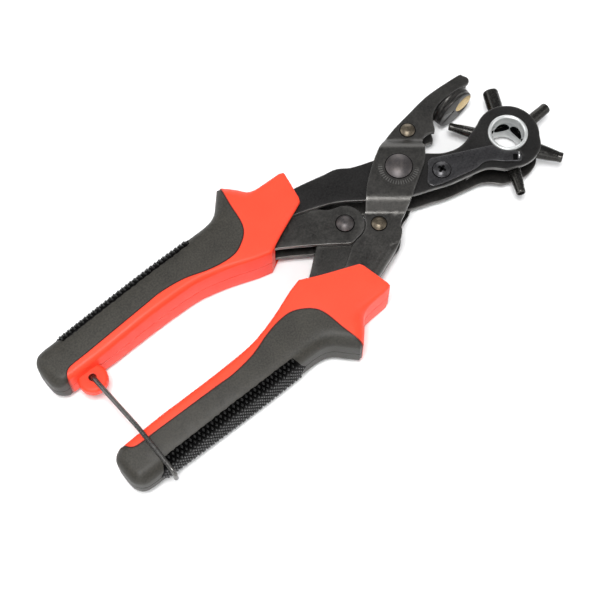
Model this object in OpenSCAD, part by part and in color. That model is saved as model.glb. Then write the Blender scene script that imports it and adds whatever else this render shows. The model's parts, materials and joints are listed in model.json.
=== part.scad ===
// Revolving hole punch for leather: compound-lever pliers with six punch tubes on a turret.
// The pliers lie on their back, X runs along the tool with the head at +X, Z points up.
// Layout coordinates start at the main pivot, halfway through the thickness of the tool.

/* [Plates] */
// Thickness of every steel plate
plate_t = 1.85; // [1.6:0.05:1.9]
// Play between plates that slide on each other
plate_gap = 0.15; // [0.1:0.05:0.2]
// Half of the space between the two inner handle plates
inner_half = 2.2; // [1.8:0.1:2.4]

/* [Pivots] */
// Radius of the main pivot rivet's shank
pivot_r = 2.9; // [2.5:0.1:3.2]
// Radius of the main pivot rivet's domed heads
pivot_head_r = 5.95; // [5:0.05:6.5]
// Outer radius of the bush that the turret jaw turns on
bush_r = 4.4; // [4:0.1:4.8]
// Radius of the lever rivet's shank
lever_r = 2.6; // [2:0.1:3]
// Radius of the lever rivet's domed heads
lever_head_r = 3.9; // [3.4:0.1:4.4]
// Radius of the fixed rivets' shanks
rivet_r = 2; // [1.5:0.1:2.4]
// Radius of the fixed rivets' domed heads
rivet_head_r = 3.3; // [2.8:0.1:3.8]
// Radial running clearance in every pivot
fit = 0.05; // [0.03:0.01:0.08]

/* [Turret] */
// Number of punch tubes
tube_count = 6; // [6:1:6]
// Distance from the turret's centre to the tips of the tubes
tip_reach = 26.7; // [26:0.1:26.8]
// Radius of the open hole through the turret
turret_hole_r = 7.35; // [7:0.05:7.5]
// Outer radius of the turret's hub
hub_r = 12.6; // [12:0.1:13]
// Radius of the round eyelet flanges
eyelet_r = 9; // [8.8:0.1:9.2]
// Height of the eyelet flanges over the plates
eyelet_h = 1.35; // [1:0.05:1.6]

/* [Anvil] */
// Distance from the turret's centre to the anvil's face
anvil_reach = 27.15; // [27.05:0.05:27.4]
// Radius of the anvil disc
anvil_r = 10.2; // [9.5:0.1:10.4]
// Thickness of the anvil disc
anvil_t = 4.2; // [3.6:0.1:4.4]
// Radius of the brass pad
pad_r = 4.8; // [4:0.1:4.9]
// Distance of the brass pad from the disc's centre
pad_offset = 5.1; // [4.9:0.1:5.2]

/* [Grips] */
// Half of the grips' thickness at the palm
grip_half = 12; // [11.6:0.1:12]
// Half of the grips' thickness at the butts
butt_half = 9.4; // [9:0.1:9.6]
// Radius of the hole in the lock wire's lug
lug_hole_r = 1.45; // [1.3:0.05:1.6]
// Radius of the lug
lug_r = 6.5; // [6:0.1:6.8]
// Turn of the left grip out of mirror symmetry, in degrees
left_turn = 1.4; // [1.2:0.1:1.6]

/* [Lock wire] */
// Radius of the lock wire
wire_r = 0.95; // [0.8:0.05:1]
// Height of the wire where it crosses the right grip
wire_z = 11.2; // [11.1:0.05:11.4]

/* [Return spring] */
// Radius of the return spring's wire
spring_wire_r = 0.7; // [0.6:0.05:0.75]
// Turns in the return spring's coil
spring_turns = 4; // [3:1:4]

/* [Hidden] */
$fn = 48;

// The origin: the floor under the middle of the tool
ground = [-50.8, -6.2, -12];

// Pivots and fixed points in the tool's plane
lever_pivot = [-35.3, -5.3];
handle_joint = [-23.6, -14.7];
jaw_joint = [16.5, 12.8];
turret = [49.6, -17.6];
screw_at = [14.1, -13];
drive_at = [-60, 16.5];
lug_at = [-163.3, 7.7];

// Levels of the plates above the middle of the tool
low_z = inner_half + plate_t;
lever_z = low_z + plate_gap;
jaw_z = lever_z + plate_t + plate_gap;
high_z = jaw_z + plate_t + plate_gap;
low_top = low_z + plate_t;
jaw_top = jaw_z + plate_t;
high_top = high_z + plate_t;
dome_h = grip_half - high_top;

// Directions
strike_dir = 93.3;
joggle_dir = -39;
pitch = 360 / tube_count;
first_tube = strike_dir + pitch / 2;
eps = 0.01;

// The outlines of the grips are drawn at a distance w from this line
mirror_y = -7.7;

function arc(c, r, a0, a1, n) =
    [for (i = [0:n]) c + r * [cos(a0 + (a1 - a0) * i / n), sin(a0 + (a1 - a0) * i / n)]];

// A smooth curve through the points p, in n steps from each point to the next
function blend(a, b, c, d, t) = 0.5 * (2 * b + (c - a) * t + (2 * a - 5 * b + 4 * c - d) * t * t
    + (3 * b - a - 3 * c + d) * t * t * t);
function curve(p, n = 4) = let (m = len(p) - 1) concat(
    [for (i = [0:m - 1]) for (j = [0:n - 1])
        blend(p[max(i - 1, 0)], p[i], p[i + 1], p[min(i + 2, m)], j / n)],
    [p[m]]);

// Moves a module from layout coordinates to the tool's own origin
module placed() {
    translate(-ground) children();
}

module slab(points, z0, z1) {
    translate([0, 0, z0]) linear_extrude(z1 - z0) polygon(points);
}

module bore(at, r, z0, z1) {
    translate([at[0], at[1], z0 - eps]) cylinder(r = r, h = z1 - z0 + 2 * eps);
}

// Mirrors a front piece to the rear of the tool
module rear() {
    mirror([0, 0, 1]) children();
}

// ---- Anvil lever: joggled cheeks, inner plates and their rivets ----

// Outline of the joggled cheek, from the anvil round to the right handle and back
cheek_outline = concat(
    curve([[54.6, 19.2], [52.4, 20.1], [36, 20.8], [22.6, 19], [8.4, 16.3], [-2.5, 11.8],
        [-15.9, 2.6], [-24.6, -6.4]]),
    arc(lever_pivot, 9.2, -14, -92, 8),
    [[-48.8, -21.4], [-70, -28], [-125, -32], [-125, -37.5], [-70, -38.5], [-50, -37.7]],
    curve([[-38.3, -33], [-31, -30.4], [-22, -26.9], [-17.9, -23.8], [-15.8, -20.4],
        [-10.5, -17.6], [-5.7, -15.3], [4, -9.4]]),
    [[12.6, -3.6]],
    arc([21.6, 0.4], 5.4, 172, 48, 10),
    curve([[26.6, 5.6], [28.2, 8.6], [30.4, 11.3], [33, 12.9]]),
    [[52.8, 14.05]],
    arc([53.6, 16.2], 2.2, -80, 40, 6));

// Height of the cheek's underside along its length, as a bent strip
joggle_profile = [[70, low_z], [15.2, low_z], [10.6, high_z], [-16.3, high_z], [-20.7, low_z],
    [-120, low_z]];

module joggled_sheet() {
    up = [0, plate_t];
    strip = concat(joggle_profile,
        [for (i = [len(joggle_profile) - 1:-1:0]) joggle_profile[i] + up]);
    rotate([0, 0, joggle_dir]) rotate([90, 0, -90])
        mirror([1, 0, 0]) linear_extrude(400, center = true) polygon(strip);
}

// Lip folded inwards along the outer edge of the cheek's handle part
lip_line = [[-21.6, -26.7], [-50, -37.7]];
module cheek_lip() {
    along = lip_line[1] - lip_line[0];
    inward = plate_t * [along[1], -along[0]] / norm(along);
    slab([lip_line[0], lip_line[1], lip_line[1] + inward, lip_line[0] + inward], 0.5, low_z + eps);
}

module anvil_plate() {
    difference() {
        union() {
            intersection() {
                slab(cheek_outline, 0, high_top + 1);
                joggled_sheet();
            }
            cheek_lip();
        }
        bore([0, 0], pivot_r, 0, high_top);
        bore(handle_joint, rivet_r, 0, high_top);
        bore(jaw_joint, rivet_r, 0, high_top);
    }
}

module front_anvil_plate() {
    color("#33332f") placed() anvil_plate();
}

module rear_anvil_plate() {
    color("#33332f") placed() rear() anvil_plate();
}

// Inner plate of the right handle, under the cheek and the lever plate
inner_outline = concat(
    arc(lever_pivot, 8.1, 140, -25, 12),
    [[-20, -11.5]],
    arc(handle_joint, 4.6, 0, -60, 4),
    [[-30, -26], [-48, -34], [-70, -36.5], [-125, -36.5], [-125, -32.5], [-80, -25.5],
        [-66, -16.6], [-44, -1.1]]);

module handle_plate() {
    difference() {
        slab(inner_outline, inner_half, low_z);
        bore(lever_pivot, lever_r, inner_half, low_z);
        bore(handle_joint, rivet_r, inner_half, low_z);
    }
}

module front_handle_plate() {
    color("#3a3a36") placed() handle_plate();
}

module rear_handle_plate() {
    color("#3a3a36") placed() rear() handle_plate();
}

// Low dome on a rivet, drawn upwards from the level z
module dome(at, r, h, z) {
    ball_r = (r * r + h * h) / (2 * h);
    translate([at[0], at[1], z]) intersection() {
        translate([0, 0, h - ball_r]) sphere(r = ball_r);
        cylinder(r = r, h = h);
    }
}

module rivet(at, shank, head, h, z) {
    bore(at, shank, -z, z);
    dome(at, head, h, z);
    rear() dome(at, head, h, z);
}

module tube(at, outer, inner, half) {
    translate([at[0], at[1], -half]) difference() {
        cylinder(r = outer, h = 2 * half);
        translate([0, 0, -eps]) cylinder(r = inner, h = 2 * half + 2 * eps);
    }
}

module jaw_spacer() {
    color("#4a4a46") placed() tube(jaw_joint, 3.6, rivet_r, low_z);
}

module jaw_rivet() {
    color("#5b4a2c") placed() rivet(jaw_joint, rivet_r, rivet_head_r, 1.2, low_top);
}

module handle_spacer() {
    color("#4a4a46") placed() tube(handle_joint, 3.6, rivet_r, inner_half);
}

module handle_rivet() {
    color("#5b4a2c") placed() rivet(handle_joint, rivet_r, rivet_head_r, 1.3, low_top);
}

module lever_spacer() {
    color("#4a4a46") placed() tube(lever_pivot, 4.6, lever_r, inner_half);
}

module lever_rivet() {
    color("#3b3536") placed()
        rivet(lever_pivot, lever_r, lever_head_r, 1.7, lever_z + plate_t + plate_gap);
}

module pivot_bush() {
    color("#4a4a46") placed() tube([0, 0], bush_r, pivot_r, high_z);
}

module pivot_rivet() {
    color("#41383a") placed() rivet([0, 0], pivot_r, pivot_head_r, dome_h, high_top);
}

// ---- Anvil: block between the cheeks, disc and brass pad ----

// Local frame at the middle of the anvil's face, with Y pointing away from the turret
module at_anvil() {
    translate([turret[0], turret[1], 0]) rotate([0, 0, strike_dir - 90])
        translate([-pad_offset, anvil_reach, 0]) children();
}

module anvil_block() {
    block = [[-8.2, anvil_t], [10.4, anvil_t], [11.7, 7], [10.6, 10.6], [7.5, 11.4], [-8.2, 11.2]];
    color("#2f2f2c") placed() at_anvil() difference() {
        slab(block, -low_z, low_z);
        rotate([-90, 0, 0]) translate([0, 0, anvil_t - eps]) cylinder(r = 3, h = 4.2);
    }
}

module anvil_disc() {
    color("#2b2b2b") placed() at_anvil() difference() {
        rotate([-90, 0, 0]) union() {
            cylinder(r1 = anvil_r - 0.4, r2 = anvil_r, h = 0.4);
            translate([0, 0, 0.4]) cylinder(r = anvil_r, h = anvil_t - 0.4);
            translate([0, 0, anvil_t - 0.1]) cylinder(r = 3, h = 4.1);
        }
        translate([pad_offset, -eps, 0]) rotate([-90, 0, 0]) cylinder(r = pad_r, h = 2.5);
        translate([-1.6, -eps, 0]) rotate([-90, 0, 0]) cylinder(r = 0.7, h = 1.5);
    }
}

module anvil_pad() {
    color("#d8b871") placed() at_anvil() translate([pad_offset, 0, 0])
        rotate([-90, 0, 0]) cylinder(r = pad_r, h = 2.5 - eps);
}

// ---- Turret jaw: two plates that carry the turret, the index spring and its screw ----

jaw_outline = concat(
    curve([[-66, 20.6], [-55, 22.4], [-42.9, 21.9], [-31.8, 19.8], [-22.1, 17.2], [-15.9, 13.4],
        [-6.4, 10], [5, 5.8], [14, -1.6], [20, -6.4], [25.9, -8.7], [31.2, -8.8], [36.5, -7.2]]),
    arc(turret, 14.3, 120, -42, 22),
    arc([48.5, -19.4], 15, -58, -120, 8),
    curve([[36.3, -30.2], [32, -25.8], [27.3, -23.7], [13.7, -20.6], [5.4, -17.6], [-4.2, -14],
        [-13, -9.3], [-21.9, -2.9], [-30.2, 3], [-38.5, 7], [-52.6, 11.6], [-66, 13]]));

// Slot in the tail that the drive pin slides in
slot_from = drive_at + [-0.5, 0];
slot_to = drive_at + [4, -0.9];
slot_r = 2.5;

// Lip folded inwards along the tail's upper edge
tail_lip = [[-52, 22.3], [-42.9, 21.9], [-31.8, 19.8], [-22.4, 17.2]];

module turret_plate() {
    lip = concat(tail_lip, [for (i = [3:-1:0]) tail_lip[i] + [-0.4, -plate_t]]);
    difference() {
        union() {
            slab(jaw_outline, jaw_z, jaw_top);
            slab(lip, 0.3, jaw_z + eps);
        }
        bore([0, 0], bush_r + fit, 0, jaw_top);
        bore(turret, eyelet_barrel_r, 0, jaw_top);
        bore(slot_from, slot_r, 0, jaw_top);
        bore(slot_to, slot_r, 0, jaw_top);
        slab([slot_from + [0, slot_r], slot_to + [0, slot_r], slot_to - [0, slot_r],
            slot_from - [0, slot_r]], jaw_z - eps, jaw_top + eps);
    }
}

eyelet_barrel_r = turret_hole_r + 0.95;
detent_dir = -109;
detent_at = turret + 11 * [cos(detent_dir), sin(detent_dir)];
index_t = 0.9;

module detent_window() {
    translate([detent_at[0], detent_at[1], jaw_z - 1]) rotate([0, 0, detent_dir])
        translate([-1.3, -1.7, 0]) cube([2.6, 3.4, plate_t + 2]);
}

module front_turret_plate() {
    color("#30302d") placed() difference() {
        turret_plate();
        detent_window();
        bore(screw_at, 1.6, jaw_z, jaw_top);
    }
}

module rear_turret_plate() {
    color("#30302d") placed() rear() turret_plate();
}

// Flanged ring: its barrel goes through the plate and carries the hub
module eyelet() {
    r = turret_hole_r;
    top = jaw_top + eyelet_h;
    translate([turret[0], turret[1], 0]) rotate_extrude($fn = 72) polygon([
        [r, jaw_z - 2], [eyelet_barrel_r, jaw_z - 2], [eyelet_barrel_r, jaw_top],
        [eyelet_r, jaw_top], [eyelet_r, top - 0.5], [eyelet_r - 0.2, top - 0.15],
        [eyelet_r - 0.55, top], [r + 0.55, top], [r + 0.15, top - 0.2], [r, top - 0.6]]);
}

module front_eyelet() {
    color("#c9ccd1") placed() eyelet();
}

module rear_eyelet() {
    color("#c9ccd1") placed() rear() eyelet();
}

// Leaf that presses the detent against the turret's hub
module index_spring() {
    leaf = concat(
        curve([[14, -5.6], [23, -9.8], [35.7, -15.9], [39.9, -17.9]]),
        arc(turret, 9.35, 186, 240, 8),
        curve([[46.3, -26.6], [47, -28.2], [46.2, -30.6], [44.4, -31.6], [39.2, -27.6],
            [34.2, -23.2], [30.5, -21.9], [25.8, -21.9], [14.4, -19.4]]),
        curve([[7.6, -17.4], [5.6, -16.2], [5.4, -13.5], [10.2, -8.4], [11.9, -6.1], [14, -5.6]]));
    color("#3c3c3a") placed() {
        difference() {
            slab(leaf, jaw_top, jaw_top + index_t);
            bore(screw_at, 1.6, jaw_top, jaw_top + index_t);
        }
        translate([detent_at[0], detent_at[1], jaw_z]) rotate([0, 0, detent_dir])
            translate([-0.8, -1.2, 0]) cube([1.6, 2.4, plate_t + eps]);
    }
}

module index_screw() {
    head_z = jaw_top + index_t;
    color("#34302f") placed() difference() {
        union() {
            bore(screw_at, 1.6, jaw_z - 0.6, head_z);
            dome(screw_at, 3.8, 1.3, head_z);
        }
        for (a = [20, 110])
            translate([screw_at[0], screw_at[1], head_z + 1.1]) rotate([0, 0, a])
                cube([3.4, 0.8, 1.4], center = true);
    }
}

// ---- Turret: hub and punch tubes ----

hub_half = jaw_z - 0.2;
tube_root = 8.7;
tube_seat = hub_r + 0.02;
// Outer radius at the base and at the tip, and the bore's radius, from the smallest tube to the
// largest
tube_sizes = [[2.6, 1.75, 1.3], [2.6, 1.85, 1.4], [2.9, 2.1, 1.65], [3.5, 2.3, 1.8],
    [2.6, 2.45, 1.95], [3.4, 3.5, 2.6]];

function tube_dir(i) = first_tube + pitch * i;
// Radius of the shank that sits in the hub, and of the bore through it
function shank_r(i) = tube_sizes[i][0] - 0.8;
function slug_r(i) = min(shank_r(i) - 0.35, tube_sizes[i][2] + 0.25);
// Radius of the windows in the hub that the slugs leave through
window_r = 3.6;

module turned(i) {
    translate([turret[0], turret[1], 0]) rotate([0, 0, tube_dir(i)]) rotate([0, 90, 0]) children();
}

module turret_hub() {
    color("#c4c7cb") placed() difference() {
        translate([turret[0], turret[1], -hub_half]) cylinder(r = hub_r, h = 2 * hub_half);
        bore(turret, turret_hole_r, -hub_half, hub_half);
        for (side = [0, 1]) mirror([0, 0, side])
            bore(turret, eyelet_barrel_r + fit, jaw_z - 2.1, hub_half);
        for (i = [0:tube_count - 1]) turned(i) {
            translate([0, 0, tube_root]) cylinder(r = shank_r(i), h = hub_r - tube_root + 1);
            translate([0, 0, 4]) cylinder(r = window_r, h = tube_root - 4 + eps);
        }
        for (i = [0:tube_count - 1])
            translate([turret[0], turret[1], 0]) rotate([0, 0, detent_dir + pitch * (i + 0.5)])
                translate([11, 0, hub_half]) sphere(r = 0.9);
    }
}

// Hollow punch: shank in the hub, shoulder, taper and a sharpened rim round its bore
module punch_tube(i) {
    base = tube_sizes[i][0];
    tip = tube_sizes[i][1];
    hole = tube_sizes[i][2];
    middle = (base + tip) / 2 + 0.1;
    color("#2d2d2b") placed() turned(i) rotate_extrude() polygon([
        [slug_r(i), tube_root], [shank_r(i), tube_root], [shank_r(i), tube_seat],
        [base, tube_seat], [base, tube_seat + 2.6], [middle, 20], [tip, tip_reach - 2.1],
        [tip, tip_reach - 0.7], [hole + 0.18, tip_reach], [hole, tip_reach], [hole, 15],
        [slug_r(i), 14]]);
}

module punch_tube_1() { punch_tube(0); }
module punch_tube_2() { punch_tube(1); }
module punch_tube_3() { punch_tube(2); }
module punch_tube_4() { punch_tube(3); }
module punch_tube_5() { punch_tube(4); }
module punch_tube_6() { punch_tube(5); }

// ---- Left lever ----

lever_outline = concat(
    arc(lever_pivot, 8.7, 76, -80, 14),
    curve([[-35.4, -14], [-37.6, -14.4], [-40.4, -13.5], [-51.6, -5.4], [-65.7, 3.8], [-80, 11],
        [-95, 14.4], [-125, 16.5]]),
    [[-125, 22.5], [-80, 23.6]],
    curve([[-66, 21.6], [-57.5, 19.6], [-46, 13.2], [-38, 5.4]]));

module lever_plate() {
    difference() {
        slab(lever_outline, lever_z, lever_z + plate_t);
        bore(lever_pivot, lever_r + fit, lever_z, lever_z + plate_t);
        bore(drive_at, 2.2, lever_z, lever_z + plate_t);
    }
}

module front_lever_plate() {
    color("#3d3d39") placed() lever_plate();
}

module rear_lever_plate() {
    color("#3d3d39") placed() rear() lever_plate();
}

module drive_pin() {
    color("#4a4a46") placed() bore(drive_at, 2.2, -jaw_top, jaw_top);
}

// ---- Grips: hard core, soft cover and textured strip, drawn once for both handles ----

butt_x = -178;
inner_w = 18.3;
outer_w = 37.2;
butt_inner_r = 5.5;
butt_outer_r = 6.5;

butt_end = concat(
    arc([butt_x + butt_outer_r, outer_w - butt_outer_r], butt_outer_r, 90, 180, 8),
    arc([butt_x + butt_inner_r, inner_w + butt_inner_r], butt_inner_r, 180, 270, 8));

inner_side = curve([[-150, 18.1], [-125, 18.4], [-106, 17.7], [-96, 15.9], [-86, 12.9],
    [-76, 9.2], [-69.3, 7.3]]);

// Edge of the red core, from its tail end near the butt to the tip of the wing
colour_edge = curve([[-171.5, 18.5], [-168, 22.4], [-156, 22.8], [-127, 23.5], [-117.5, 23.7],
    [-106, 22.1], [-96.3, 18.9], [-88.7, 17.2], [-82.2, 17], [-77.3, 18.8], [-72.6, 22.4],
    [-70.2, 27.5], [-68.8, 36], [-67.4, 42.5], [-66.4, 46.9]]);

front_side = concat(
    [[-65.5, 9.2], [-44.4, 17.9]],
    curve([[-43.4, 19.4], [-40.5, 32.4], [-41, 34], [-43, 34.8], [-52.5, 35.5], [-57.3, 37],
        [-61.5, 42.2], [-65.8, 46.8]]));

wing_back = curve([[-68, 47.3], [-72.5, 42.6], [-76.5, 38.8], [-82, 37], [-92, 36.9],
    [-110, outer_w]]);

core_edge = concat(inner_side, front_side, [for (i = [len(colour_edge) - 1:-1:0]) colour_edge[i]]);
cover_edge = concat(colour_edge, wing_back, butt_end);

// The hard core also runs on inside the soft cover
core_inside = [[-173, 20.5], [-120, 20], [-90, 15], [-60, 15], [-62, 36], [-70, 40], [-77, 34],
    [-171, 33], [-174, 29]];
core_inside_half = 8;

strip_from = -168;
strip_to = -88.5;
strip_slant = 5;
strip_edge = [[strip_from + strip_slant, 34], [strip_to - strip_slant, 34],
    [strip_to, outer_w + 0.6], [strip_from, outer_w + 0.6]];
strip_half = 9.3;

// Thickness of the grips along their length
module grip_envelope() {
    half = [[-182, butt_half], [-165, butt_half + 0.5], [-150, butt_half + 1.3],
        [-128, grip_half - 0.2], [-118, grip_half], [-30, grip_half]];
    rotate([90, 0, 0]) linear_extrude(160, center = true)
        polygon(concat(half, [for (i = [len(half) - 1:-1:0]) [half[i][0], -half[i][1]]]));
}

module on_right() {
    translate([0, mirror_y, 0]) mirror([0, 1, 0]) children();
}

// Point that the left grip turns about as it's drawn, and how far it's shifted after that
left_centre = [-150, 28];
left_shift = [-1.5, 0.6];

module on_left() {
    translate([left_centre[0] + left_shift[0], mirror_y + left_centre[1] + left_shift[1], 0])
        rotate([0, 0, left_turn]) translate([-left_centre[0], -left_centre[1], 0]) children();
}

module grip_core() {
    intersection() {
        grip_envelope();
        slab(core_edge, -grip_half - 1, grip_half + 1);
    }
    slab(core_inside, -core_inside_half, core_inside_half);
}

module grip_cover() {
    difference() {
        intersection() {
            grip_envelope();
            slab(cover_edge, -grip_half - 1, grip_half + 1);
        }
        slab(core_inside, -core_inside_half, core_inside_half);
        grip_strip();
    }
}

module grip_strip() {
    slab(strip_edge, -strip_half, strip_half);
}

module right_grip_core() {
    color("#f0503a") placed() difference() {
        on_right() grip_core();
        for (side = [0, 1]) mirror([0, 0, side]) {
            slab(inner_outline, inner_half, low_z + eps);
            slab(cheek_outline, low_z, low_top);
            cheek_lip();
        }
    }
}

module right_grip_cover() {
    color("#3a3c38") placed() on_right() grip_cover();
}

module right_grip_strip() {
    color("#1c1c1c") placed() on_right() grip_strip();
}

// Room in the left grip's mouth for the turret jaw's tail
mouth_room = [[-73, 10.5], [-66, 2], [-36, 6], [-36, 27.6], [-73, 26]];
mouth_half = 8.4;
lug_half = 3;

module left_grip_core() {
    color("#f0503a") placed() difference() {
        union() {
            on_left() grip_core();
            translate([lug_at[0], lug_at[1], -lug_half]) cylinder(r = lug_r, h = 2 * lug_half);
        }
        slab(mouth_room, -mouth_half, mouth_half);
        for (side = [0, 1]) mirror([0, 0, side]) slab(lever_outline, lever_z, lever_z + plate_t);
        bore(lug_at, lug_hole_r, -lug_half, lug_half);
    }
}

module left_grip_cover() {
    color("#3a3c38") placed() difference() {
        on_left() grip_cover();
        bore(lug_at, lug_r, -lug_half, lug_half);
    }
}

module left_grip_strip() {
    color("#1c1c1c") placed() on_left() grip_strip();
}

// ---- Return spring: torsion coil round the bush, with a leg to each jaw ----

coil_r = bush_r + 0.4 + spring_wire_r;
coil_half = 3.2;
coil_from = -60;
coil_turn = 360 * spring_turns - 130;
coil_steps = 24 * spring_turns;
coil_path = [for (i = [0:coil_steps]) let (a = coil_from + coil_turn * i / coil_steps)
    [coil_r * cos(a), coil_r * sin(a), -coil_half + 2 * coil_half * i / coil_steps]];
spring_path = concat([[19.5, 7.6, -coil_half], [13, 3.6, -coil_half]], coil_path,
    [[-12, 9.4, coil_half], [-27, 15.2, coil_half]]);
spring_sides = 8;

// Tube of radius r along a path that never runs straight up
module swept(path, r, sides) {
    m = len(path) - 1;
    rings = [for (i = [0:m])
        let (d = path[min(i + 1, m)] - path[max(i - 1, 0)],
            t = d / norm(d), s = cross([0, 0, 1], t), u = s / norm(s), v = cross(t, u))
        for (k = [0:sides - 1]) path[i] + r * (cos(360 * k / sides) * u + sin(360 * k / sides) * v)];
    walls = [for (i = [0:m - 1]) for (k = [0:sides - 1]) let (a = i * sides, n = (k + 1) % sides)
        [a + k, a + n, a + sides + n, a + sides + k]];
    start = [for (k = [sides - 1:-1:0]) k];
    end = [for (k = [0:sides - 1]) m * sides + k];
    polyhedron(rings, concat([start], walls, [end]));
}

module return_spring() {
    color("#8d8f92") placed() swept(spring_path, spring_wire_r, spring_sides);
}

// ---- Lock wire: pivots in the lug and hooks over the right grip ----

wire_path = [[lug_at[0] + 4.6, lug_at[1] + 0.4, -4.5], [lug_at[0], lug_at[1], -4.5],
    [lug_at[0], lug_at[1], 4], [-162.4, -24.5, wire_z], [-162.3, -49.8, wire_z],
    [-162.3, -49.8, 3.5]];

module rod(from, to, r) {
    d = to - from;
    translate(from) rotate([0, acos(d[2] / norm(d)), atan2(d[1], d[0])]) cylinder(r = r, h = norm(d));
    translate(to) sphere(r = 1.02 * r);
}

module lock_wire() {
    color("#3b3a3a") placed() {
        for (i = [0:len(wire_path) - 2]) rod(wire_path[i], wire_path[i + 1], wire_r);
    }
}

front_anvil_plate();
rear_anvil_plate();
front_handle_plate();
rear_handle_plate();
jaw_spacer();
jaw_rivet();
handle_spacer();
handle_rivet();
lever_spacer();
lever_rivet();
pivot_bush();
pivot_rivet();
anvil_block();
anvil_disc();
anvil_pad();
right_grip_core();
right_grip_cover();
right_grip_strip();
front_turret_plate();
rear_turret_plate();
front_eyelet();
rear_eyelet();
index_spring();
index_screw();
return_spring();
turret_hub();
punch_tube_1();
punch_tube_2();
punch_tube_3();
punch_tube_4();
punch_tube_5();
punch_tube_6();
front_lever_plate();
rear_lever_plate();
drive_pin();
left_grip_core();
left_grip_cover();
left_grip_strip();
lock_wire();
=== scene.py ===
"""Looks for the rotary hole punch: moulded grips, blackened plates, turret, anvil and lock wire.

Measures are in millimetres from the main pivot, halfway through the tool's thickness: X runs
towards the head, Y towards the left handle and Z up. piece() turns them into the row's frame.
"""

import json
import math
import bpy
import numpy as np
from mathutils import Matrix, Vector
from mathutils.geometry import delaunay_2d_cdt


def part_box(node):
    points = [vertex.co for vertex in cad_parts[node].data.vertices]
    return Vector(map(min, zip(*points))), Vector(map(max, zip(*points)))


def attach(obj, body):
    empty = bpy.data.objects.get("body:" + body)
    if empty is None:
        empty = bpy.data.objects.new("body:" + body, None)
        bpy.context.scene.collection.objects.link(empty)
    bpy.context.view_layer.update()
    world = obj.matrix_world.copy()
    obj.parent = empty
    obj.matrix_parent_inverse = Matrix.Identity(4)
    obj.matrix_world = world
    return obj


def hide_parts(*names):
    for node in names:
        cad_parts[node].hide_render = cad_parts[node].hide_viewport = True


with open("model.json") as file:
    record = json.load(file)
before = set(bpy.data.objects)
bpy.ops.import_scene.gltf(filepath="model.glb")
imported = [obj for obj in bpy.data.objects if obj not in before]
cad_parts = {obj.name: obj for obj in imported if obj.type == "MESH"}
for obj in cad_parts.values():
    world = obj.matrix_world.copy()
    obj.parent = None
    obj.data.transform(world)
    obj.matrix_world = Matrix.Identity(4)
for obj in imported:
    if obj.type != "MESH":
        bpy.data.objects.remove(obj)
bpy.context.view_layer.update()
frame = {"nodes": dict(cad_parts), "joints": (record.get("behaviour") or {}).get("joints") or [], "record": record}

MM, TINY = 0.001, 1e-12
CORNERS = ((-1, -1), (1, -1), (1, 1), (-1, 1))
JOINTS = {j["name"]: np.array(j["pos_m"]) / MM for j in frame["joints"]}
PIVOT = JOINTS["jaw_pivot"]
TURRET = JOINTS["turret_spin"] - PIVOT
LUG = JOINTS["lock_swing"] - PIVOT


# ---- Camera, floor and light ----

CAMERA_AIM = (-21.2, -13.0, 12.0)
CAMERA_DISTANCE = 630.4
CAMERA_ELEVATION = math.radians(67.65)
CAMERA_AZIMUTH = math.radians(-39)
LENS = 87
CLIP_M = (0.01, 10)

FLOOR_HALF_M = 2.5
SKY, SKY_STRENGTH = (0.97, 0.98, 1.0, 1), 0.42
# Each softbox: metres to the right of and up the picture, height, size, and power in watts.
SOFTBOXES = {
    "key": (-0.05, -0.22, 1.0, 0.3, 9.5),
    "front": (-0.1, -0.9, 0.45, 0.7, 3.2),
    "left": (-0.95, 0.2, 0.55, 0.6, 3.5),
    "right": (0.95, -0.1, 0.5, 0.6, 1.8),
    "back": (0.1, 1.0, 0.3, 0.6, 3),
}


def add_object(name, data, place=(0, 0, 0), way=None):
    """Puts an object into the scene, with its -Z axis along way."""
    obj = bpy.data.objects.new(name, data)
    obj.location = place
    if way is not None:
        obj.rotation_mode = "QUATERNION"
        obj.rotation_quaternion = way.to_track_quat("-Z", "Y")
    bpy.context.scene.collection.objects.link(obj)
    return obj


def add_camera():
    back = Vector((
        math.sin(CAMERA_AZIMUTH) * math.cos(CAMERA_ELEVATION),
        -math.cos(CAMERA_AZIMUTH) * math.cos(CAMERA_ELEVATION),
        math.sin(CAMERA_ELEVATION),
    ))
    data = bpy.data.cameras.new("camera")
    data.lens = LENS
    data.clip_start, data.clip_end = CLIP_M
    place = (Vector(CAMERA_AIM) + back * CAMERA_DISTANCE) * MM
    bpy.context.scene.camera = add_object("camera", data, place, -back)


def add_softbox(name, right, up, height, size, power):
    """Square light that looks at the tool."""
    aside = Vector((math.cos(CAMERA_AZIMUTH), math.sin(CAMERA_AZIMUTH), 0))
    ahead = Vector((-aside.y, aside.x, 0))
    place = aside * right + ahead * up + Vector((0, 0, height))
    data = bpy.data.lights.new(name, "AREA")
    data.shape = "SQUARE"
    data.size = size
    data.energy = power
    add_object(name, data, place, -place)


def add_studio():
    bpy.context.scene.view_settings.view_transform = "Standard"
    world = bpy.data.worlds.new("studio")
    world.use_nodes = True
    background = world.node_tree.nodes["Background"]
    background.inputs["Color"].default_value = SKY
    background.inputs["Strength"].default_value = SKY_STRENGTH
    bpy.context.scene.world = world
    for name, setting in SOFTBOXES.items():
        add_softbox(name, *setting)

    mesh = bpy.data.meshes.new("floor")
    corners = [(x * FLOOR_HALF_M, y * FLOOR_HALF_M, 0) for x, y in CORNERS]
    mesh.from_pydata(corners, [], [(0, 1, 2, 3)])
    mesh.materials.append(floor_paint())
    add_object("floor", mesh)


# ---- Materials ----

NOISE_ROUGHNESS = 0.55


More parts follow.
